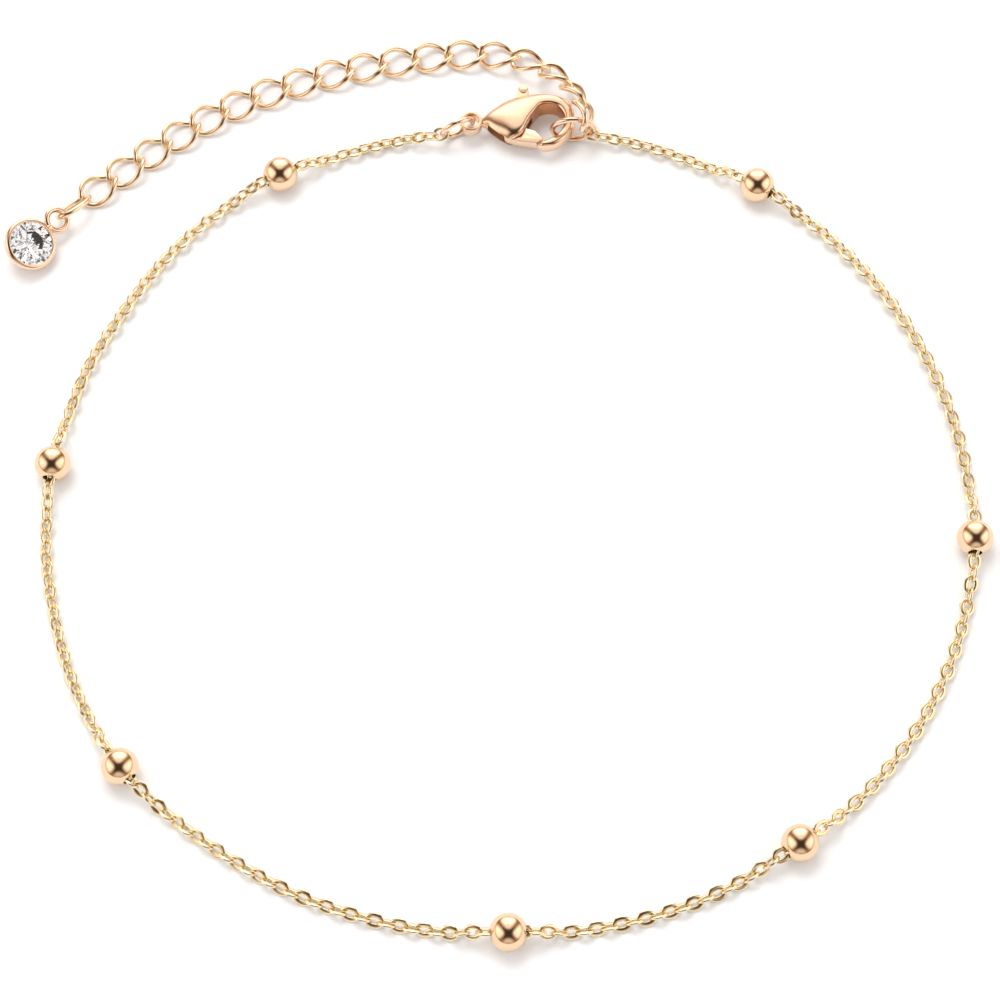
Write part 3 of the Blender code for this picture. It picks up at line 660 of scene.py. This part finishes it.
def bead_profile():
    """Hollow ball with a turned in edge at each hole."""
    mouth_radius = 0.56 * MM
    lip = 0.05 * MM
    hollow = 0.74 * MM
    mouth = math.degrees(math.asin((mouth_radius + lip) / BEAD_RADIUS))
    ball = arc(0.0, 0.0, BEAD_RADIUS, mouth - 90.0, 90.0 - mouth, 49)
    height = ball[-1][1]
    top = arc(mouth_radius + lip, height - lip, lip, 80.0, 180.0, 5)
    top += [(mouth_radius + lip, height - 3 * lip), (hollow, height - 6 * lip)]
    return ball + top + [(x, -y) for x, y in reversed(top)]


BEAD_PROFILE = bead_profile()
for number, sample in enumerate(BEAD_SAMPLES, 1):
    mark = LINE.marks[sample]
    along = LINE.at(mark + BEAD_RADIUS) - LINE.at(mark - BEAD_RADIUS)
    middle = (LINE.at(mark + BEAD_RADIUS / 2) + LINE.at(mark - BEAD_RADIUS / 2)) / 2
    along.z = 0.0
    middle.z = BEAD_RADIUS
    place = Matrix.Translation(middle) @ along.to_track_quat("Z", "Y").to_matrix().to_4x4()
    node = "bead_%d" % number
    ball = turned(node, BEAD_PROFILE)
    # Faces inside the hole get the painted shade.
    hollow = [face.index for face in ball.polygons if face.center.length < OUTSIDE_SHARE * BEAD_RADIUS]
    dress("ball_" + node, ball, place, node, BEAD_PLATE)
    ball.materials.append(PAINTED_SHADE_PLATE)
    for index in hollow:
        ball.polygons[index].material_index = 1
print("beads:", len(BEAD_SAMPLES), "profile points:", len(BEAD_PROFILE))

# %% [markdown]
# ## The lobster clasp
#
# The clasp is cast: a teardrop body that swells from the eyelet, narrows over the back of the hook
# and comes round to a point. A row for each section, from the eyelet to the tip, gives the place of
# its outer edge and of its inner edge, its thickness, and how square its outer and inner sides
# are, all as shares of the clasp's size. A skin is stretched over the sections, an eyelet ring is
# joined on, and a slot is cut through the middle for the lever.

# %% Sections of the body
CLASP_REACH = 9.06 * MM
CLASP_WIDTH = 5.40 * MM
CLASP_THICKNESS = 2.30 * MM
CLASP_SECTIONS = (
    (0.085, 0.040, 0.085, -0.040, 0.30, 2.2, 2.2),
    (0.124, 0.106, 0.140, -0.080, 0.46, 2.2, 2.2),
    (0.191, 0.222, 0.212, -0.200, 0.70, 2.1, 2.2),
    (0.288, 0.344, 0.300, -0.302, 0.88, 2.1, 2.4),
    (0.375, 0.431, 0.389, -0.357, 0.98, 2.1, 3.0),
    (0.491, 0.493, 0.489, -0.248, 1.00, 2.2, 5.0),
    (0.568, 0.507, 0.543, -0.069, 1.00, 2.3, 5.0),
    (0.651, 0.506, 0.595, 0.083, 0.98, 2.5, 5.0),
    (0.725, 0.494, 0.655, 0.226, 0.95, 2.7, 5.0),
    (0.819, 0.456, 0.739, 0.272, 0.92, 2.8, 5.0),
    (0.911, 0.394, 0.822, 0.233, 0.89, 2.8, 4.0),
    (0.964, 0.317, 0.868, 0.150, 0.85, 2.8, 3.5),
    (0.990, 0.200, 0.888, 0.050, 0.80, 2.8, 3.0),
    (1.000, -0.037, 0.888, -0.060, 0.74, 2.8, 3.0),
    (0.972, -0.190, 0.872, -0.140, 0.66, 2.8, 2.8),
    (0.892, -0.361, 0.822, -0.245, 0.62, 2.8, 2.8),
    (0.800, -0.467, 0.762, -0.311, 0.60, 2.6, 2.6),
    (0.712, -0.490, 0.717, -0.354, 0.57, 2.5, 2.5),
    (0.668, -0.482, 0.690, -0.366, 0.51, 2.4, 2.4),
    (0.642, -0.458, 0.674, -0.386, 0.34, 2.2, 2.2),
)


def clasp_point(share):
    """Place in the clasp's plane from shares of its reach and width."""
    return Vector((share[0] * CLASP_REACH, share[1] * CLASP_WIDTH, 0.0))


def fine_sections(steps=4):
    """Sections between the listed ones, on a smooth curve through them."""
    rows = np.array(CLASP_SECTIONS)
    ends = np.vstack([2 * rows[0] - rows[1], rows, 2 * rows[-1] - rows[-2]])
    result = []
    for index in range(1, len(ends) - 2):
        before, first, second, after = ends[index - 1:index + 3]
        for step in range(steps):
            t = step / steps
            linear = (second - before) * t
            square = (2 * before - 5 * first + 4 * second - after) * t * t
            cubic = (3 * first - before - 3 * second + after) * t ** 3
            result.append(0.5 * (2 * first + linear + square + cubic))
    return result + [rows[-1]]


def section_ring(row, count=44):
    """Rounded outline of one section."""
    outer = clasp_point(row[0:2])
    inner = clasp_point(row[2:4])
    middle = (outer + inner) / 2
    points = []
    for angle in full_turn(count, 0.5):
        side, top = math.cos(angle), math.sin(angle)
        power = 2.0 / (row[5] if side > 0.0 else row[6])
        across = math.copysign(abs(side) ** power, side)
        height = math.copysign(abs(top) ** power, top) * row[4] * CLASP_THICKNESS / 2
        points.append(middle + (outer - middle) * across + UP * height)
    return points


def loft(name, rings):
    """Stretch a skin over rings of points and close its ends."""
    shape = bmesh.new()
    loops = [[shape.verts.new(point) for point in ring] for ring in rings]
    count = len(loops[0])
    for first, second in zip(loops, loops[1:]):
        for index in range(count):
            after = (index + 1) % count
            shape.faces.new((first[index], first[after], second[after], second[index]))
    shape.faces.new(list(reversed(loops[0])))
    shape.faces.new(loops[-1])
    return mesh_of(name, shape)


# %% Eyelet, slot and pivot pin
PIVOT = clasp_point((0.377, -0.215))
LEVER_THICKNESS = 0.80 * MM
PIN_DIAMETER = 0.70 * MM
RUNNING_GAP = 0.10 * MM
SLOT_OUTLINE = (
    (0.150, -0.320), (0.165, -0.060), (0.215, 0.190), (0.193, 0.600),
    (0.590, 0.600), (0.570, 0.420), (0.562, 0.090), (0.640, 0.000),
    (0.640, -0.500), (0.150, -0.500),
)


def outline_mesh(name, points, thickness, hole):
    """Flat plate with a round hole."""
    curve = bpy.data.curves.new(name, "CURVE")
    curve.dimensions = "2D"
    curve.fill_mode = "BOTH"
    curve.extrude = thickness / 2
    for loop in (points, hole):
        add_spline(curve, loop)
    return curve_mesh(name, curve)


def combine(name, base, steps):
    """Join or cut meshes with exact Booleans."""
    item = add_object(name, base)
    tools = []
    for mesh, operation in steps:
        tools.append(add_object(name + "_tool", mesh))
        step = item.modifiers.new("shape", "BOOLEAN")
        step.operation = operation
        step.solver = "EXACT"
        step.object = tools[-1]
    result = final_mesh(item)
    for tool in tools:
        bpy.data.objects.remove(tool, do_unlink=True)
    result.name = name
    return smooth(result, 35.0)


# %% The clasp's body
def eyelet_mesh():
    """Ring with a square section and round edges."""
    outer, inner, rim, edge = 1.0 * MM, 0.64 * MM, 0.5 * MM, 0.12 * MM
    corners = (
        (outer - edge, rim - edge, 90.0), (outer - edge, edge - rim, 0.0),
        (inner + edge, edge - rim, 270.0), (inner + edge, rim - edge, 180.0),
    )
    profile = [point for x, y, start in corners for point in arc(x, y, edge, start, start - 90.0, 6)]
    return turned("eyelet", profile, 64)


CLASP_PLACE = Matrix.Translation(CLASP_MIDDLE)
PIN_HOLE = arc(PIVOT.x, PIVOT.y, PIN_DIAMETER / 2, 0.0, 352.5, 48)
SLOT = outline_mesh(
    "slot", [clasp_point(share) for share in SLOT_OUTLINE], LEVER_THICKNESS + 2 * RUNNING_GAP, PIN_HOLE
)
BODY = combine(
    "clasp_body", loft("clasp_body", [section_ring(row) for row in fine_sections()]),
    ((eyelet_mesh(), "UNION"), (SLOT, "DIFFERENCE")),
)
print("clasp body faces:", len(BODY.polygons))

# %% [markdown]
# Little light gets inside the clasp. The slot's ceiling gets a painted shade of dark brown gold, its
# lower plate has a satin skin, and the wall inside the hook gets a painted reflection of dark copper.
# These faces are found by where they are and which way they look, before the body is moved to its place.

# %% Walls inside the clasp
PAINTED_SHADE_SLOT, SATIN, PAINTED_REFLECTION_SLOT = 1, 2, 3
SLOT_HEIGHT = LEVER_THICKNESS / 2 + RUNNING_GAP
HOOK_MIDDLE = clasp_point((0.735, -0.02))
HOOK_START = clasp_point((0.56, 0.0)).x
HOOK_WALL_REACH = 0.26 * CLASP_REACH
LEVEL_SLACK = 0.001 * MM
FLAT_FACE, STEEP_FACE, INWARD_FACE = 0.99, 0.55, 0.5


def inner_finish_or_painted_light(face):
    """Finish of a face inside the clasp, or 0 for the cast skin: painted shade on the slot's ceiling, satin
    on its lower plate, and a painted copper reflection on the hook's inner wall.
    """
    # The slot's ceiling gets the painted shade, its lower plate the satin skin.
    if abs(face.normal.z) > FLAT_FACE and abs(abs(face.center.z) - SLOT_HEIGHT) < LEVEL_SLACK:
        return PAINTED_SHADE_SLOT if face.normal.z < 0.0 else SATIN
    # The hook's inner wall gets the painted copper reflection.
    toward = (HOOK_MIDDLE - face.center).to_2d()
    in_hook = face.center.x > HOOK_START and toward.length < HOOK_WALL_REACH
    inward = face.normal.to_2d().dot(toward.normalized()) > INWARD_FACE
    return PAINTED_REFLECTION_SLOT if in_hook and inward and abs(face.normal.z) < STEEP_FACE else 0


BODY_FINISHES_AND_PAINTED_LIGHT = [inner_finish_or_painted_light(face) for face in BODY.polygons]
dress("cast_clasp_body", BODY, CLASP_PLACE, "clasp_body", CAST_PLATE)
# Slots for the satin skin, the painted shade and the painted copper reflection.
for material in (PAINTED_SHADE_PLATE, SATIN_PLATE, PAINTED_REFLECTION_PLATE):
    BODY.materials.append(material)
for face, finish in zip(BODY.polygons, BODY_FINISHES_AND_PAINTED_LIGHT):
    face.material_index = finish
print("faces inside the clasp:", len(BODY_FINISHES_AND_PAINTED_LIGHT) - BODY_FINISHES_AND_PAINTED_LIGHT.count(0))

# %% [markdown]
# ## The lever
#
# The lever is stamped from plate: a gate that closes the hook, a boss round the pivot, and an arm
# that ends in a rounded tab for the thumbnail. Its edges are tumbled soft, which a bevel gives. It
# rides on its own body, so that it turns when the clasp is opened.

# %% Lever
GATE_OUTLINE = (
    (0.455, -0.378), (0.628, -0.416), (0.690, -0.330),
    (0.609, -0.180), (0.543, -0.146), (0.468, -0.060),
)
TAB = clasp_point((0.504, 0.604))
TAB_RADIUS = 0.48 * MM
BOSS_WALL = 0.18 * MM
SOFT_EDGE = 0.09 * MM


def lever_mesh():
    """Gate, boss and arm cut from plate, with soft edges."""
    bore = PIN_DIAMETER / 2 + RUNNING_GAP
    outline = arc(PIVOT.x, PIVOT.y, bore + BOSS_WALL, 150.0, 250.0, 14)
    outline += [tuple(clasp_point(share)[0:2]) for share in GATE_OUTLINE]
    outline += arc(TAB.x, TAB.y, TAB_RADIUS, -40.0, 190.0, 24)
    hole = arc(PIVOT.x, PIVOT.y, bore, 0.0, 350.0, 36)
    item = add_object("clasp_lever_plate", outline_mesh("clasp_lever", outline, LEVER_THICKNESS, hole))
    soft = item.modifiers.new("soft_edges", "BEVEL")
    soft.width = SOFT_EDGE
    soft.segments = 3
    soft.angle_limit = math.radians(50.0)
    return smooth(final_mesh(item), 40.0)


def tab_mesh():
    """Thumb tab: a domed disc with round edges, over the end of the arm."""
    half, edge = 0.45 * MM, 0.20 * MM
    side = arc(TAB_RADIUS - edge, half - edge, edge, 90.0, 0.0, 9)
    crown = [(0.0, half + 0.05 * MM), (0.10 * MM, half + 0.045 * MM), (0.19 * MM, half + 0.03 * MM)]
    top = crown + side
    profile = top + [(x, -y) for x, y in reversed(top)]
    mesh = turned("tab", profile, 48)
    mesh.transform(Matrix.Translation(TAB))
    return mesh


LEVER = combine("clasp_lever", lever_mesh(), ((tab_mesh(), "UNION"),))
dress("stamped_clasp_lever", LEVER, CLASP_PLACE, "clasp_lever", CAST_PLATE, "lever")
print("lever faces:", len(LEVER.polygons))

# %% [markdown]
# ## The extension chain
#
# Curb links are ovals whose ends are twisted apart, so that each lies flat against the next. The
# first five come down from the ring, each with a turn, a rise and a roll in degrees, and the rest
# follow a line on the floor with a fixed pitch. All eighteen share one shape, and each is a piece
# of its own.

# %% Curb links
CURB_LINK = (4.01 * MM, 3.0 * MM, 0.46 * MM)
CURB_PITCH = CURB_LINK[0] - 2 * CURB_LINK[2] - LINK_GAP
EXTENSION_START = (
    (90.5, -23.0, 63.6), (114.6, -18.6, 55.9), (133.7, -11.2, 43.1), (152.1, -5.3, 27.1),
    (171.9, -2.7, 10.9),
)
EXTENSION_ROUTE = (
    (-4.4, 43.1), (-10.2, 42.2), (-16.0, 40.8), (-21.6, 38.7), (-26.8, 35.7), (-31.4, 32.2),
    (-35.8, 28.5),
)
CURB_COUNT = 18
CURB_TWIST = 90.0
HOLD_ANGLE = 62.0
SEARCH_STEP = 0.01 * CURB_PITCH


def curb_joints():
    """Ends and rolls of the links, and the joint after the last."""
    joint = END_RING.place(HOLD_ANGLE) - direction(*EXTENSION_START[0][:2]) * (RING_WIRE + 3 * LINK_GAP) / 2
    steps = []
    for turn, rise, roll in EXTENSION_START:
        far = joint + direction(turn, rise) * CURB_PITCH
        steps.append((joint, far, roll))
        joint = far
    line = Route(smooth_route([joint] + [mm(x, y, CURB_REST / MM) for x, y in EXTENSION_ROUTE]))
    ahead = 0.0
    while len(steps) < CURB_COUNT:
        while (line.at(ahead) - joint).length < CURB_PITCH:
            ahead += SEARCH_STEP
        far = joint + (line.at(ahead) - joint).normalized() * CURB_PITCH
        steps.append((joint, far, 0.0))
        joint = far
    return steps, joint


CURB_OVAL = oval_points(*CURB_LINK, CURB_TWIST, 16)
CURB_REST = max(point.z for point in CURB_OVAL) + CURB_LINK[2] / 2
CURB_STEPS, DROP_JOINT = curb_joints()
for number, (near, far, roll) in enumerate(CURB_STEPS, 1):
    node = "extension_link_%02d" % number
    mesh = wire_mesh(node, oval_points(*CURB_LINK, CURB_TWIST), CURB_LINK[2])
    dress("curb_" + node, mesh, link_frame((near + far) / 2, far - near, roll), node, CURB_PLATE)
print("curb links:", len(CURB_STEPS), "end at", DROP_JOINT / MM)

# %% [markdown]
# ## The drop
#
# The drop is a bezel: a cup of thin sheet whose rim is rubbed over the stone's edge, with a small
# ring soldered to its side and an open oval link through that ring. The cup and its ring are
# joined into one mesh, because solder makes them one piece of metal.

# %% Place of the drop
STONE_RADIUS = 1.90 * MM
CUP_RADIUS = STONE_RADIUS + 0.36 * MM
BAIL_RADIUS = 0.925 * MM
BAIL_WIRE = 0.50 * MM
BAIL_MIDDLE = Vector((CUP_RADIUS + 1.055 * MM, 0.0, -0.42 * MM))
SHOULDER = -0.38 * MM
CUP_DEPTH = 2.00 * MM
DROP_TURN, DROP_RISE, DROP_ROLL = 51.0, -6.0, 31.0
DROP_POSE = link_frame(Vector(), direction(DROP_TURN, DROP_RISE), DROP_ROLL)


def drop_place():
    """The bezel lies on its edge, held by the link that comes from the last joint."""
    level = direction(DROP_TURN, 0.0)
    low_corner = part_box("drop_setting")[0][2] - SHIFT.z
    height = low_corner - LOWEST_OF_CUP
    held = DROP_POSE.to_3x3() @ (BAIL_MIDDLE + Vector((BAIL_RADIUS, 0.0, 0.0)))
    reach = CURB_LINK[0] - 2 * CURB_LINK[2] - (BAIL_WIRE + 3 * LINK_GAP) / 2
    rise = math.asin((held.z + height - DROP_JOINT.z) / reach)
    leads = UP * math.sin(rise) - level * math.cos(rise)
    origin = DROP_JOINT + leads * reach - held
    return Matrix.Translation((origin.x, origin.y, height)) @ DROP_POSE, leads


# %% The bezel
RIM_STEPS = 12
BOWL_STEPS = 24


def cup_profile():
    """Rim, bowl, flat back, and the seat inside."""
    lip = STONE_RADIUS - 0.03 * MM
    rim_radius = 0.08 * MM
    crest = lip + rim_radius
    rim = [(lip, -0.11 * MM)] + arc(crest, -rim_radius, rim_radius, 170.0, 90.0, 8)
    for step in range(1, RIM_STEPS + 1):
        angle = math.pi / 2 * step / RIM_STEPS
        fall = (SHOULDER + 0.02 * MM) * (1.0 - math.cos(angle))
        rim.append((crest + (CUP_RADIUS - crest) * math.sin(angle), fall))
    back = 0.95 * MM
    sweep = math.acos(back / CUP_RADIUS)
    depth = (CUP_DEPTH + SHOULDER) / math.sin(sweep)
    bowl = []
    for step in range(BOWL_STEPS + 1):
        angle = sweep * step / BOWL_STEPS
        bowl.append((CUP_RADIUS * math.cos(angle), SHOULDER - depth * math.sin(angle)))
    inside = 0.06 * MM - CUP_DEPTH
    seat_radius = STONE_RADIUS + 0.10 * MM
    seat = [
        (0.0, -CUP_DEPTH), (0.0, inside), (0.2 * MM, inside),
        (seat_radius, -0.34 * MM), (seat_radius, -0.15 * MM),
    ]
    return rim + bowl + seat


# %% The ring and the solder on the bezel
SOLDER_WIRE = 0.60 * MM
SOLDER_INSET = 0.16 * MM
SOLDER_LENGTH = 0.40 * MM
SOLDER_STEPS = 12


def ring_mesh(name, radius, wire, middle):
    """A closed ring that lies level."""
    points = [middle + Vector((math.cos(angle), math.sin(angle), 0.0)) * radius for angle in full_turn(64)]
    return wire_mesh(name, points, wire, True, 7)


def solder_mesh():
    """Short bead of solder between the cup and its ring."""
    start = CUP_RADIUS - SOLDER_INSET
    points = []
    for step in range(SOLDER_STEPS + 1):
        points.append(Vector((start + SOLDER_LENGTH * step / SOLDER_STEPS, 0.0, BAIL_MIDDLE.z)))
    return wire_mesh("solder", points, SOLDER_WIRE, False, 6)


PROFILE = cup_profile()
SPLIT = PROFILE.index((0.0, -CUP_DEPTH)) + 1
CUP = turned("bezel", PROFILE[SPLIT:] + PROFILE[:SPLIT], 96, 30.0)
BEZEL = combine("drop_setting", CUP, (
    (ring_mesh("bail", BAIL_RADIUS, BAIL_WIRE, BAIL_MIDDLE), "UNION"), (solder_mesh(), "UNION"),
))
LOWEST_OF_CUP = min((DROP_POSE.to_3x3() @ vertex.co).z for vertex in BEZEL.vertices)
DROP_PLACE, LINK_LEADS = drop_place()
dress("bezel_drop_setting", BEZEL, DROP_PLACE, "drop_setting", ROSE_PLATE)
print("bezel faces:", len(BEZEL.polygons), "drop at", DROP_PLACE.translation / MM)

# %% The open link
DROP_LINK = (4.01 * MM, 2.7 * MM, 0.46 * MM)
DROP_LINK_SEAM, DROP_LINK_ROLL = 205.0, 45.0


def open_oval(length, width, wire, seam, gap=0.9, count=64):
    """Centre line of an oval with a fine gap, its place and half its width in degrees."""
    points = []
    for step in range(count):
        angle = math.radians(seam + gap + (360.0 - 2 * gap) * step / (count - 1))
        x, y = (length - wire) / 2 * math.cos(angle), (width - wire) / 2 * math.sin(angle)
        points.append(Vector((x, y, 0.0)))
    return points


mesh = wire_mesh("drop_link", open_oval(*DROP_LINK, DROP_LINK_SEAM), DROP_LINK[2], False)
place = link_frame(DROP_JOINT + LINK_LEADS * CURB_PITCH / 2, LINK_LEADS, DROP_LINK_ROLL)
dress("wire_drop_link", mesh, place, "drop_link", CURB_PLATE)
print("drop link leads", [round(value, 3) for value in LINK_LEADS])

# %% [markdown]
# ## The stone
#
# It is a round brilliant: a flat table, a crown, a thin girdle, and a deep pavilion that meets in a
# point. Its corners are all that is needed, a row for each ring of them with its share of the
# radius, its height, their count and their turn. Their convex hull has exactly the facets, and
# flat shading keeps them crisp. The back corners are a hair uneven, as in a stone that a machine
# cuts, which breaks up the reflections. The facets that look back get the foil.

# %% Brilliant cut
UNEVENNESS = 0.015 * MM
SAME_FACET = 0.5


def brilliant():
    """Cut stone with its table up."""
    girdle, crown, belt, pavilion = -0.18 * MM, 0.30 * MM, 0.03 * MM, 1.68 * MM
    rings = (
        (0.54, crown, 12, 0.5), (0.80, 0.56 * crown, 12, 0.0), (1.0, 0.0, 24, 0.0),
        (1.0, -belt, 24, 0.0), (0.62, -belt - 0.43 * pavilion, 12, 0.0),
        (0.26, -belt - 0.77 * pavilion, 12, 0.5),
    )
    shape = bmesh.new()
    for share, height, count, offset in rings:
        uneven = UNEVENNESS if share < 1.0 and height < 0.0 else 0.0
        for index, angle in enumerate(full_turn(count, offset)):
            wobble = uneven * math.sin(5.1 * index + 9.0 * share)
            shape.verts.new((
                STONE_RADIUS * share * math.cos(angle), STONE_RADIUS * share * math.sin(angle),
                girdle + height + wobble,
            ))
    shape.verts.new((0.0, 0.0, girdle - belt - pavilion))
    bmesh.ops.convex_hull(shape, input=shape.verts)
    limit = math.radians(SAME_FACET)
    bmesh.ops.dissolve_limit(shape, angle_limit=limit, verts=shape.verts, edges=shape.edges)
    return mesh_of("drop_stone", shape)


STONE_MESH = brilliant()
print("stone facets:", len(STONE_MESH.polygons))
LOOKS_BACK = -0.1
BACK_FACETS = [face.index for face in STONE_MESH.polygons if face.normal.z < LOOKS_BACK]
dress("cut_drop_stone", STONE_MESH, DROP_PLACE, "drop_stone", STONE)
STONE_MESH.materials.append(FOIL)
for index in BACK_FACETS:
    STONE_MESH.polygons[index].material_index = 1
print("facets with foil:", len(BACK_FACETS))

# %% [markdown]
# ## Floor, light and camera
#
# Polished metal shows its surroundings, so the light is the look. A mirror in an even white room
# looks flat. Here it is a tent of four soft panels round the opening for the lens, with dark warm
# gaps between them, and every bead shows them as a cross. The pale floor gives the glow from
# below. The three soft boxes only cast the gentle shadows, and the metal doesn't show them.

# %% Floor
def floor_material():
    """White paper, very slightly uneven."""
    result, tree, shader = new_material("paper_floor", {"Roughness": 0.9, "Specular IOR Level": 0.1})
    cloudy_tone(tree, shader, 8.0, (0.90, 0.895, 0.895), (0.92, 0.92, 0.92))
    return result


bpy.ops.mesh.primitive_plane_add(size=2.4, location=(0.0, 0.0, 0.0))
FLOOR = bpy.context.object
FLOOR.name = "paper_floor"
FLOOR.data.materials.append(floor_material())
print("floor size", FLOOR.dimensions[0], "m")


# %% Lights
def soft_box(name, place, size, power, tint=(1.0, 1.0, 1.0)):
    """A square lamp that looks at the anklet."""
    light = bpy.data.lights.new(name, "AREA")
    light.shape = "RECTANGLE"
    light.size, light.size_y = size
    light.energy = power
    light.color = tint
    item = add_object(name, light)
    item.location = place
    item.rotation_euler = (-Vector(place)).to_track_quat("-Z", "Y").to_euler()
    item.visible_glossy = False
    return item


soft_box("top_box", (-0.10, 0.22, 0.50), (0.34, 0.26), 1.3)
soft_box("left_box", (-0.46, -0.05, 0.28), (0.16, 0.40), 0.4)
soft_box("right_box", (0.46, 0.02, 0.30), (0.14, 0.40), 0.3, (1.0, 0.97, 0.95))


# %% [markdown]
# The tent is drawn as the sky, from directions alone. The sky may answer each kind of ray in its
# own way. What the metal mirrors is the tent. The paper and the lens see plain white, because the
# warm gaps would tint the paper. Rays that come out of the stone see small bright and dark spots,
# which stand in for the lamps and the dark room that make a cut stone sparkle.

# %% Sky helpers
def sum_node(tree, operation, *terms):
    """One step of arithmetic on sockets or numbers."""
    node = add_node(tree, "ShaderNodeMath", (-900, 0), dict(enumerate(terms)), operation=operation)
    return node.outputs["Value"]


def eased(tree, value, low, high, to_low, to_high):
    """Ease a value from one range to another."""
    inputs = {"Value": value, "From Min": low, "From Max": high, "To Min": to_low, "To Max": to_high}
    node = add_node(tree, "ShaderNodeMapRange", (-600, 0), inputs, interpolation_type="SMOOTHSTEP")
    return node.outputs["Result"]


def share_along(tree, look, axis):
    """How far a direction goes along an axis."""
    node = add_node(tree, "ShaderNodeVectorMath", (-1100, 0), {0: look, 1: axis}, operation="DOT_PRODUCT")
    return node.outputs["Value"]


def glow(tree, colour, strength):
    """A colour as strong as a value says."""
    inputs = {0: colour, "Scale": strength}
    return add_node(tree, "ShaderNodeVectorMath", (-200, 0), inputs, operation="SCALE").outputs["Vector"]


def for_rays(tree, kind, special, usual):
    """One colour for a kind of ray, and the usual colour for the rest."""
    inputs = {"Factor": kind, "A": usual, "B": special}
    return add_node(tree, "ShaderNodeMix", (200, 0), inputs, data_type="RGBA").outputs["Result"]


OPENING = direction(-90.0, 65.0)
OPENING_UP = direction(90.0, 25.0)
RIGHT = direction(0.0, 0.0)
print("the tent opens towards", OPENING)


# %% The tent's panels
PANEL_WHITE = (1.0, 0.99, 0.98)
GAP_WARMTH = (1.0, 0.62, 0.34)


def tent_panels(tree, look):
    """Four soft panels, brightest at the back and the sides, with gaps between them."""
    above = share_along(tree, look, OPENING_UP)
    beside = sum_node(tree, "ABSOLUTE", share_along(tree, look, RIGHT))
    facing = share_along(tree, look, OPENING)
    off_gap = sum_node(tree, "SUBTRACT", sum_node(tree, "ABSOLUTE", above), beside)
    panel = eased(tree, sum_node(tree, "ABSOLUTE", off_gap), 0.0, 0.62, 0.0, 1.0)
    panel = sum_node(tree, "MULTIPLY", panel, eased(tree, facing, 0.80, 0.99, 1.0, 0.0))
    level = eased(tree, above, -0.5, 0.5, 0.65, 1.0)
    level = sum_node(tree, "ADD", level, sum_node(tree, "MULTIPLY", beside, 0.6))
    level = sum_node(tree, "ADD", level, eased(tree, above, 0.78, 0.93, 0.0, 0.9))
    near_floor = eased(tree, share_along(tree, look, UP), 0.0, 0.40, 0.35, 1.0)
    level = sum_node(tree, "MULTIPLY", level, near_floor)
    white = glow(tree, PANEL_WHITE, sum_node(tree, "MULTIPLY", panel, level))
    warm = glow(tree, GAP_WARMTH, eased(tree, facing, 0.45, 0.97, 0.36, 0.07))
    whole = add_node(tree, "ShaderNodeVectorMath", (0, 0), {0: white, 1: warm}, operation="ADD")
    return whole.outputs["Vector"]


# %% Sky
PLAIN_WHITE = (0.82, 0.81, 0.815, 1.0)
SPOT_SCALE = 9.0
SKY_STRENGTH = 0.97


def tent_sky():
    """The sky that each kind of ray sees."""
    world = bpy.data.worlds.new("tent")
    bpy.context.scene.world = world
    world.use_nodes = True
    tree = world.node_tree
    look = add_node(tree, "ShaderNodeTexCoord", (-1300, 0)).outputs["Generated"]
    rays = add_node(tree, "ShaderNodeLightPath", (0, 400)).outputs
    spots = add_node(tree, "ShaderNodeTexNoise", (-200, -400), {
        "Vector": look, "Scale": SPOT_SCALE, "Detail": 1.0,
    })
    sparkle = eased(tree, spots.outputs["Fac"], 0.40, 0.54, 0.16, 1.3)
    paper_or_lens = sum_node(tree, "ADD", rays["Is Camera Ray"], rays["Is Diffuse Ray"])
    plain = for_rays(tree, paper_or_lens, PLAIN_WHITE, tent_panels(tree, look))
    spotted = for_rays(tree, rays["Is Transmission Ray"], sparkle, plain)
    set_inputs(tree.nodes["Background"], {"Color": spotted, "Strength": SKY_STRENGTH})
    return world


tent_sky()
bpy.context.scene.view_settings.view_transform = "Standard"
print("sky:", bpy.context.scene.world.name)

# %% [markdown]
# The camera looks down at 65 degrees from 248 mm, through a long lens, so that the far side of the
# loop is hardly smaller than the near side.

# %% Camera
LOOK_HEIGHT = 65.0
LOOK_DISTANCE = 248.0 * MM
tip = math.radians(LOOK_HEIGHT)
camera = add_object("camera", bpy.data.cameras.new("camera"))
camera.data.lens = 108.0
camera.data.sensor_width = 36.0
camera.data.clip_start = 0.01
camera.location = SHIFT + Vector((0.0, -math.cos(tip), math.sin(tip))) * LOOK_DISTANCE
camera.rotation_euler = (math.radians(90.0 - LOOK_HEIGHT), 0.0, 0.0)
bpy.context.scene.camera = camera
print("camera at", camera.location / MM)
